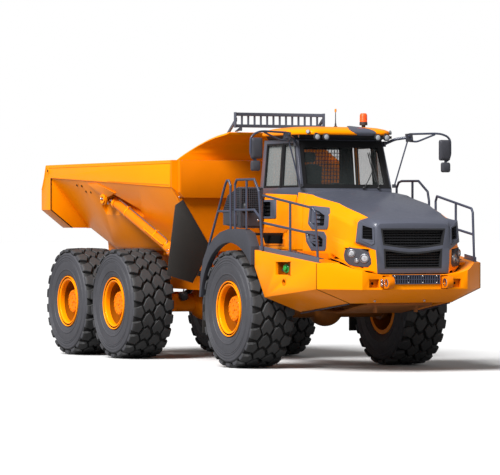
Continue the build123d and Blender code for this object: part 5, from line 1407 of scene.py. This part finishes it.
# ---- mirrors --------------------------------------------------------------
arms = Shape()   # RAIL, SLATE_ROUGH, MIRROR, PLASTIC
for hand in (1, -1):
    def M(x, y, z):
        return P(x, hand * y, z)
    arms.tube([M(0.80, 1.08, 3.655), M(0.868, 1.50, 3.668), M(0.90, 1.60, 3.660), M(0.915, 1.70, 3.620),
               M(0.912, 1.752, 3.560), M(0.908, 1.756, 3.330), M(0.905, 1.72, 3.250), M(0.905, 1.67, 3.225)],
              0.0165, 0.05, 10)
    arms.tube([M(0.80, 1.08, 3.545), M(0.825, 1.20, 3.535), M(0.868, 1.50, 3.652)], 0.015, 0.04, 10)
    arms.tube([M(0.53, 0.775, 3.500), M(0.66, 0.90, 3.575), M(0.80, 1.055, 3.602)], 0.023, 0.05, 12)
    arms.tube([M(0.80, 1.06, 3.590), M(0.762, 0.83, 2.840)], 0.0125, sides=10)
    arms.box(M(0.80, 1.075, 3.600), (0.055, 0.105, 0.130), Matrix.Rotation(hand * 0.12, 3, "X"), 1)
    arms.nut(M(0.83, 1.055, 3.625), (1, 0, 0), 0.014, 0.014, 0)
    arms.nut(M(0.83, 1.095, 3.575), (1, 0, 0), 0.014, 0.014, 0)
    arms.box(M(0.768, 0.822, 2.838), (0.07, 0.035, 0.055), mat=1)
    arms.box(M(0.515, 0.770, 3.500), (0.10, 0.035, 0.085), mat=1)
    # heads: x thickness, pod outline in y and z
    for y, z, w, h, deep in ((1.650, 3.405, 0.186, 0.326, 0.070), (1.668, 3.135, 0.150, 0.158, 0.066)):
        def pod(x, k, cut):
            pts = [M(x, y - w / 2 * k, z - h / 2 * k), M(x, y + w / 2 * k, z - h / 2 * k),
                   M(x, y + w / 2 * k, z + h / 2 * k), M(x, y - w / 2 * k, z + h / 2 * k)]
            if hand < 0:
                pts = pts[::-1]
            return round_corners(pts, cut, 3)
        x0 = 0.915
        arms.loft([pod(x0 - deep / 2, 0.965, 0.030), pod(x0 - deep / 2 + 0.006, 1.0, 0.034),
                   pod(x0 + deep * 0.12, 1.0, 0.034), pod(x0 + deep * 0.36, 0.93, 0.034),
                   pod(x0 + deep / 2, 0.70, 0.034)], 1)
        arms.loft([pod(x0 - deep / 2 - 0.0015, 0.86, 0.024), pod(x0 - deep / 2 + 0.001, 0.86, 0.024)], 2)
    arms.tube([M(0.905, 1.665, 3.245), M(0.905, 1.665, 3.208)], 0.017, sides=10)
    arms.tube([M(0.908, 1.756, 3.50), M(0.915, 1.700, 3.50)], 0.012, sides=8)
    arms.tube([M(0.908, 1.756, 3.34), M(0.915, 1.700, 3.34)], 0.012, sides=8)
arms.make("mirror_arms", "tractor", [RAIL, SLATE_ROUGH, MIRROR, PLASTIC], bevel=0.0, smooth=42,
          replaces=("mirrors",))

# ---- cooler unit behind the cab -------------------------------------------
cool = Shape()   # SLATE_ROUGH, VOID, PLASTIC, STEEL
low = [P(-0.960, -0.930, 2.232), P(-0.330, -0.930, 2.178), P(-0.330, -0.930, 2.420), P(-0.960, -0.930, 2.420)]
cool.prism(low, (0, -0.392, 0), 0)
side_line = [(-0.955, 2.420), (-0.335, 2.420), (-0.335, 2.806), (-0.432, 2.816), (-0.800, 2.690), (-0.955, 2.470)]
cool.prism([P(x, -0.955, z) for x, z in inset([Vector((x, 0, z)) for x, z in side_line], 0.022)
            and side_line], (0, -0.340, 0), 1)
# frame of the mesh: corner posts and top edges
corners = [(-0.945, 2.420, 2.470), (-0.345, 2.420, 2.806)]
for x, z0, z1 in corners:
    for y in (-0.940, -1.308):
        cool.box(P(x, y, (z0 + z1) / 2), (0.030, 0.030, z1 - z0), mat=0)
for y in (-0.940, -1.308):
    cool.tube([P(-0.950, y, 2.470), P(-0.800, y, 2.688), P(-0.432, y, 2.812), P(-0.340, y, 2.804)], 0.015, sides=6)
    cool.tube([P(-0.950, y, 2.430), P(-0.340, y, 2.430)], 0.014, sides=6)
for x, z in ((-0.950, 2.470), (-0.800, 2.688), (-0.432, 2.812), (-0.340, 2.804)):
    cool.tube([P(x, -0.940, z), P(x, -1.308, z)], 0.014, sides=6)
# mesh on the outer side and the front
for k in range(17):
    x = -0.925 + k * 0.036
    top_z = zig(x, [(-0.950, 2.470), (-0.800, 2.688), (-0.432, 2.812), (-0.300, 2.812)])
    cool.tube([P(x, -1.312, 2.430), P(x, -1.312, top_z)], 0.0055, sides=5, mat=0)
for k in range(11):
    z = 2.450 + k * 0.034
    x0 = zig(z, [(2.400, -0.950), (2.470, -0.950), (2.688, -0.800), (2.812, -0.432)])
    cool.tube([P(x0, -1.313, z), P(-0.340, -1.313, z)], 0.0055, sides=5, mat=0)
    cool.tube([P(-0.333, -0.945, z), P(-0.333, -1.303, z)], 0.0055, sides=5, mat=0)
for k in range(11):
    y = -0.965 - k * 0.033
    cool.tube([P(-0.334, y, 2.430), P(-0.334, y, 2.800)], 0.0055, sides=5, mat=0)
# lower box: lid lines, latch and filter bowl
cool.box(P(-0.325, -1.130, 2.300), (0.014, 0.300, 0.180), mat=0)
cool.box(P(-0.640, -1.327, 2.310), (0.420, 0.012, 0.150), mat=0)
cool.lathe([(-0.02, 0.0), (-0.02, 0.048), (0.06, 0.050), (0.10, 0.040), (0.115, 0.020), (0.118, 0.0)],
           P(-0.300, -1.250, 2.460), (0, 0, 1), 20, 2)
cool.nut(P(-0.318, -1.020, 2.300), (1, 0, 0), 0.014, 0.014, 3)
cool.make("cooler_box", "tractor", [SLATE_ROUGH, VOID, PLASTIC, STEEL], bevel=0.003, segments=1,
          replaces=("cooler_unit",))

# ---- bed ------------------------------------------------------------------
EX, EZ = -5.270, 2.675
bed = Shape()    # YELLOW, VOID, STEEL, YELLOW_SHADED
for hand in (1, -1):
    def B(x, y, z):
        return P(x, hand * y, z)
    out = (0, hand, 0)
    # top edge bar and the fold under the band
    bed.prism([B(-2.340, 1.598, 3.228), B(-7.560, 1.598, 3.228), B(-7.560, 1.598, 3.276), B(-2.340, 1.598, 3.276)],
              (0, hand * 0.008, 0))
    # stiffener over the fold, from the headboard to the cylinder's ear
    bed.prism([B(-2.400, 1.598, 2.872), B(-4.900, 1.598, 2.958), B(-4.900, 1.598, 2.972), B(-2.400, 1.598, 2.886)],
              (0, hand * 0.006, 0), 3)
    # tail plate: edge bar and lifting eye
    bed.prism([B(-7.575, 1.598, 3.270), B(-7.655, 1.598, 3.060), B(-7.765, 1.598, 2.852), B(-7.735, 1.598, 2.852),
               B(-7.630, 1.598, 3.055), B(-7.550, 1.598, 3.262)], (0, hand * 0.008, 0))
    bed.lathe([(-0.002, 0.030), (0.006, 0.031), (0.007, 0.052), (0.0, 0.055), (-0.002, 0.055)],
              B(-7.479, 1.600, 3.179), out, 28, 0, closed=True)
    bed.disc(B(-7.479, 1.597, 3.179), out, 0.031, 0.006, mat=1)
    # seams of the fold, the headboard's edge and the tail plate, darkened as painted shade along the fold and edge and
    # as a painted shadow line at the tail plate's inner edge
    bed.tube([B(-2.360, 1.600, 2.843), B(-6.050, 1.600, 3.003), B(-7.350, 1.600, 3.056)], 0.006, sides=6, mat=3)
    bed.tube([B(-2.362, 1.600, 3.276), B(-2.362, 1.600, 2.848)], 0.006, sides=6, mat=3)
    bed.tube([B(-7.353, 1.596, 3.052), B(-7.353, 1.597, 2.502), B(-7.353, 1.190, 2.186)], 0.011, sides=6, mat=1)
    # bolt holes in the sloping side
    for x, z in ((-6.305, 2.915), (-6.120, 2.900), (-6.060, 2.806), (-5.870, 2.792)):
        y = 0.931 + (z - 1.860) * 0.5850
        bed.disc(B(x, y, z), (0, hand * 0.861, -0.508), 0.020, 0.008, mat=1)
    # fairing over the ear of the tipping cylinder
    face = [(-5.765, 2.928, 1.580), (-5.360, 2.938, 1.590), (-4.775, 2.772, 1.514), (-5.090, 2.705, 1.510),
            (-5.400, 2.745, 1.512)]
    behind = [1.540, 1.560, 1.476, 1.476, 1.476]
    bed.loft([[B(x, y, z) for x, z, y in face], [B(x, y, z) for (x, z, _), y in zip(face, behind)]], 0)
    # ear of the tipping cylinder: collar, pin with retainer, gussets
    bed.lathe([(0.0, 0.043), (0.0, 0.086), (0.010, 0.082), (0.020, 0.080), (0.020, 0.043)], B(EX, 1.514, EZ),
              out, 40, 0, closed=True)
    bed.box(B(EX + 0.004, 1.536, EZ), (0.110, 0.010, 0.030), mat=2)
    bed.nut(B(EX - 0.038, 1.541, EZ), out, 0.009, 0.012, 2)
    bed.nut(B(EX + 0.046, 1.541, EZ), out, 0.009, 0.012, 2)
    # flange strip down the headboard's edge and bolts through the flap
    bed.prism([B(-2.312, 1.596, 3.278), B(-2.312, 1.503, 3.278), B(-2.312, 1.503, 2.775), B(-2.312, 1.596, 2.835)],
              (0.008, 0, 0))
    for y, z in ((1.572, 2.580), (1.500, 2.466), (1.428, 2.354), (1.356, 2.242), (1.284, 2.130), (1.212, 2.016),
                 (1.140, 1.904)):
        bed.nut(B(-2.312, y - 0.115, z + 0.10), (1, 0, 0), 0.014, 0.012, 2)
# shadow line under the headboard's upper panel
bed.box(P(-2.255, 0, 2.6765), (0.110, 2.860, 0.006), mat=3)
bed.make("bed_fittings", "bed", [YELLOW, VOID, STEEL, YELLOW_SHADED], bevel=0.003, segments=1, slot="yellow_paint")
# cross ribs under the floor, between the runners and beyond them
ribs = Shape()
for k in range(8):
    x = -2.75 - k * 0.47
    for y0, y1 in ((-0.400, 0.400), (0.500, 0.880), (-0.880, -0.500)):
        ribs.prism([P(x - 0.045, y0, 1.802), P(x + 0.045, y0, 1.802), P(x + 0.030, y0, 1.725), P(x - 0.030, y0, 1.725)],
                   (0, y1 - y0, 0))
ribs.make("bed_floor_ribs", "bed", YELLOW_SHADED, bevel=0.003, segments=1)

# ---- tipping cylinders ------------------------------------------------------
U = Vector((-2.520, 0, 0.875)).normalized()
N = Vector((-U.z, 0, U.x)) * -1
for hand, side in ((1, "left"), (-1, "right")):
    cyl = Shape()   # YELLOW, STEEL, DARK
    base_ = P(-2.750, hand * 1.360, 1.800)

    def L(s, n, y):
        return base_ + U * s + N * n + Vector((0, hand * y, 0))
    # gland nut, end caps and weld rings
    cyl.lathe([(2.395, 0.0925), (2.395, 0.0955), (2.400, 0.0965), (2.455, 0.0965), (2.462, 0.093)],
              base_, U, 32, 0, closed=False)
    for s in (0.170, 0.235):
        cyl.lathe([(s - 0.012, 0.0855), (s, 0.0905), (s + 0.012, 0.0855)], base_, U, 32, 0)
    cyl.lathe([(2.4705, 0.0515), (2.4705, 0.070), (2.474, 0.068), (2.474, 0.0515)], base_, U, 32, 2, closed=True)
    # supply pipes with clamps along the barrel
    cyl.tube([L(0.190, 0.060, 0.060), L(0.230, 0.098, 0.022), L(0.330, 0.112, 0.012), L(2.300, 0.112, 0.012),
              L(2.370, 0.100, 0.012), L(2.400, 0.080, 0.012)], 0.0125, 0.03, 10, 1)
    cyl.tube([L(0.230, 0.040, 0.096), L(0.300, 0.035, 0.106), L(1.000, 0.035, 0.106), L(1.060, 0.035, 0.085)],
             0.0110, 0.03, 8, 0)
    for s in (0.70, 1.90):
        cyl.box(L(s, 0.098, 0.012), (0.046, 0.052, 0.044), Matrix((U, Vector((0, 1, 0)), N)).transposed(), 0)
        cyl.lathe([(s - 0.018, 0.0852), (s - 0.018, 0.0895), (s + 0.018, 0.0895), (s + 0.018, 0.0852)],
                  base_, U, 28, 0, closed=True)
    # base eye cheeks
    cyl.lathe([(0.0, 0.043), (0.0, 0.088), (0.008, 0.084), (0.010, 0.043)], base_ + Vector((0, hand * 0.065, 0)),
              (0, hand, 0), 32, 0, closed=True)
    cyl.make(f"hoist_pipes_{side}", f"hoist_barrel_{side}", [YELLOW, STEEL, DARK], bevel=0.0, smooth=40,
             slot="yellow_paint")
    # pin cap on the outrigger
    cap = Shape()
    cap.lathe([(0.0, 0.0), (0.0, 0.040), (0.012, 0.058), (0.016, 0.058), (0.022, 0.052), (0.022, 0.0)],
              P(-2.750, hand * 1.4455, 1.800), (0, hand, 0), 32, 0)
    for k in range(4):
        a = math.pi / 4 + k * math.pi / 2
        cap.nut(P(-2.750 + 0.033 * math.cos(a), hand * 1.4675, 1.800 + 0.033 * math.sin(a)), (0, hand, 0), 0.008,
                0.012, 1)
    cap.make(f"hoist_pin_cap_{side}", "rear_unit", [YELLOW_SHADED, STEEL], bevel=0.0, smooth=40)

# ---- rear end ---------------------------------------------------------------
rear = Shape()    # PLASTIC, RED, LENS_AMBER, LENS_WHITE, STEEL, YELLOW_SHADED, DARK
for hand in (1, -1):
    def R(x, y, z):
        return P(x, hand * y, z)
    rear.box(R(-7.1600, 0.690, 1.318), (0.042, 0.230, 0.120), mat=0)
    for y, mat in ((0.766, 1), (0.690, 2), (0.614, 3)):
        rear.lathe([(0.0, 0.0), (0.0, 0.034), (0.006, 0.034), (0.012, 0.028), (0.015, 0.0)],
                   R(-7.181, y, 1.318), (-1, 0, 0), 24, mat)
        rear.lathe([(0.0, 0.034), (0.0, 0.039), (0.008, 0.039), (0.009, 0.034)],
                   R(-7.181, y, 1.318), (-1, 0, 0), 24, 0, closed=True)
    rear.nut(R(-7.140, 0.560, 1.445), (-1, 0, 0), 0.014, 0.014, 4)
    rear.nut(R(-7.140, 0.535, 1.250), (-1, 0, 0), 0.014, 0.014, 4)
    # brake pipes along the rails, clamped
    rear.tube([R(-2.760, 0.512, 1.440), R(-4.100, 0.512, 1.440), R(-6.900, 0.512, 1.440)], 0.013, sides=8, mat=4)
    rear.tube([R(-2.760, 0.511, 1.400), R(-4.100, 0.511, 1.400), R(-5.900, 0.511, 1.400)], 0.011, sides=8, mat=6)
    for x in (-2.95, -3.55, -4.15, -4.85, -5.90, -6.50):
        rear.box(R(x, 0.515, 1.425), (0.040, 0.030, 0.090), mat=6)
    # bosses of the rail plates
    for x in (-2.90, -3.20, -6.60, -6.85):
        rear.disc(R(x, 0.500, 1.270), (0, hand, 0), 0.050, 0.012, 0.004, 24, 5)
        rear.nut(R(x, 0.512, 1.270), (0, hand, 0), 0.020, 0.016, 4)
    # bed hinge pin caps
    rear.lathe([(0.0, 0.0), (0.0, 0.050), (0.010, 0.062), (0.016, 0.060), (0.016, 0.0)],
               R(-6.900, 0.6605, 1.550), (0, hand, 0), 32, 5)
# valve block on the cross member, hitch pin head
rear.box(P(-3.500, 0.0, 1.505), (0.260, 0.420, 0.060), mat=6)
for k in range(4):
    rear.disc(P(-3.500, -0.15 + 0.1 * k, 1.535), (0, 0, 1), 0.026, 0.030, 0.004, 16, 4)
rear.make("rear_fittings", "rear_unit", [PLASTIC, RED, LENS_AMBER, LENS_WHITE, STEEL, YELLOW_SHADED, DARK],
          bevel=0.0, smooth=40, slot="lamp")

# axle details: oil plugs and brake cans on the rear axles, on both sides
axle = Shape()
for x0 in (MIDDLE_X, REAR_X):
    for hand in (1, -1):
        axle.lathe([(0.0, 0.0), (0.0, 0.070), (0.012, 0.078), (0.085, 0.078), (0.100, 0.066), (0.150, 0.030),
                    (0.155, 0.0)], P(x0 + 0.175, hand * 0.500, AXLE_Z + 0.110), (1, 0, 0.15), 28, 1)
        axle.tube([P(x0 + 0.200, hand * 0.500, AXLE_Z + 0.170), P(x0 + 0.190, hand * 0.470, AXLE_Z + 0.260),
                   P(x0 + 0.100, hand * 0.430, AXLE_Z + 0.290)], 0.012, 0.04, 8, 2)
axle.make("axle_fittings", "rear_unit", [YELLOW_SHADED, DARK, PLASTIC], bevel=0.0, smooth=40, slot="dark_casting")

# ---- door and steps on the left ---------------------------------------------
door = Shape()   # PLASTIC, STEEL, INNER
door.ring([P(x, 0.8125 if z < 3.4 else 0.8125, z) for x, z in ((-0.446, 3.468), (0.108, 3.468), (0.152, 2.778), (-0.446, 2.778))][::-1],
          [P(x, 0.8125, z) for x, z in ((-0.418, 3.440), (0.088, 3.440), (0.128, 2.806), (-0.418, 2.806))][::-1],
          (0, -0.012, 0), 2)
door.box(P(0.130, 0.872, 2.700), (0.150, 0.020, 0.070), mat=0)
door.tube([P(0.075, 0.880, 2.705), P(0.080, 0.905, 2.705), P(0.170, 0.905, 2.705), P(0.175, 0.880, 2.705)],
          0.009, 0.012, 8, 1)
door.lathe([(0.0, 0.0), (0.0, 0.014), (0.004, 0.013), (0.005, 0.0)], P(0.130, 0.8815, 2.672), (0, 1, 0), 16, 1)
door.tube([P(-0.350, 0.862, 2.360), P(-0.350, 0.905, 2.390), P(-0.350, 0.905, 2.700), P(-0.350, 0.862, 2.730)],
          0.013, 0.03, 10, 0)
door.make("door_fittings", "door", [PLASTIC, STEEL, INNER], bevel=0.003, segments=1, slot="black_plastic")
steps = Shape()
for low in (1.300, 1.505):
    for i in range(20):
        x = 1.335 + i * 0.030
        y1 = 1.562 - (x - 1.310) / 0.620 * 0.084 - 0.012
        steps.box(P(x, (1.265 + y1) / 2, low + 0.004), (0.006, y1 - 1.265, 0.012), mat=0)
    for j in range(6):
        y = 1.285 + j * 0.040
        steps.box(P(1.620, y, low + 0.003), (0.590, 0.005, 0.008), mat=0)
steps.make("step_gratings", "tractor", STEEL, bevel=0.0)
# fender top: anti-slip plates
grip = Shape()
for hand in (1, -1):
    for i in range(8):
        x = -0.02 + i * 0.056
        for j in range(1):
            grip.disc(P(x, hand * 1.645, 2.163), (0, 0, 1), 0.011, 0.005, 0.002, 8)
grip.make("fender_studs", "tractor", SLATE_ROUGH, bevel=0.0)

# ---- underside and articulation ----------------------------------------------
under = Shape()   # YELLOW_SHADED, DARK, STEEL, PLASTIC
for hand in (1, -1):
    # pipes on the front frame, running back to the joint
    under.tube([P(0.95, hand * 0.36, 1.50), P(0.20, hand * 0.40, 1.46), P(-0.90, hand * 0.40, 1.46)],
               0.016, 0.05, 10, 2)
under.make("frame_pipes", "tractor", [YELLOW_SHADED, DARK, STEEL, PLASTIC], bevel=0.0, smooth=40, slot="dark_casting")
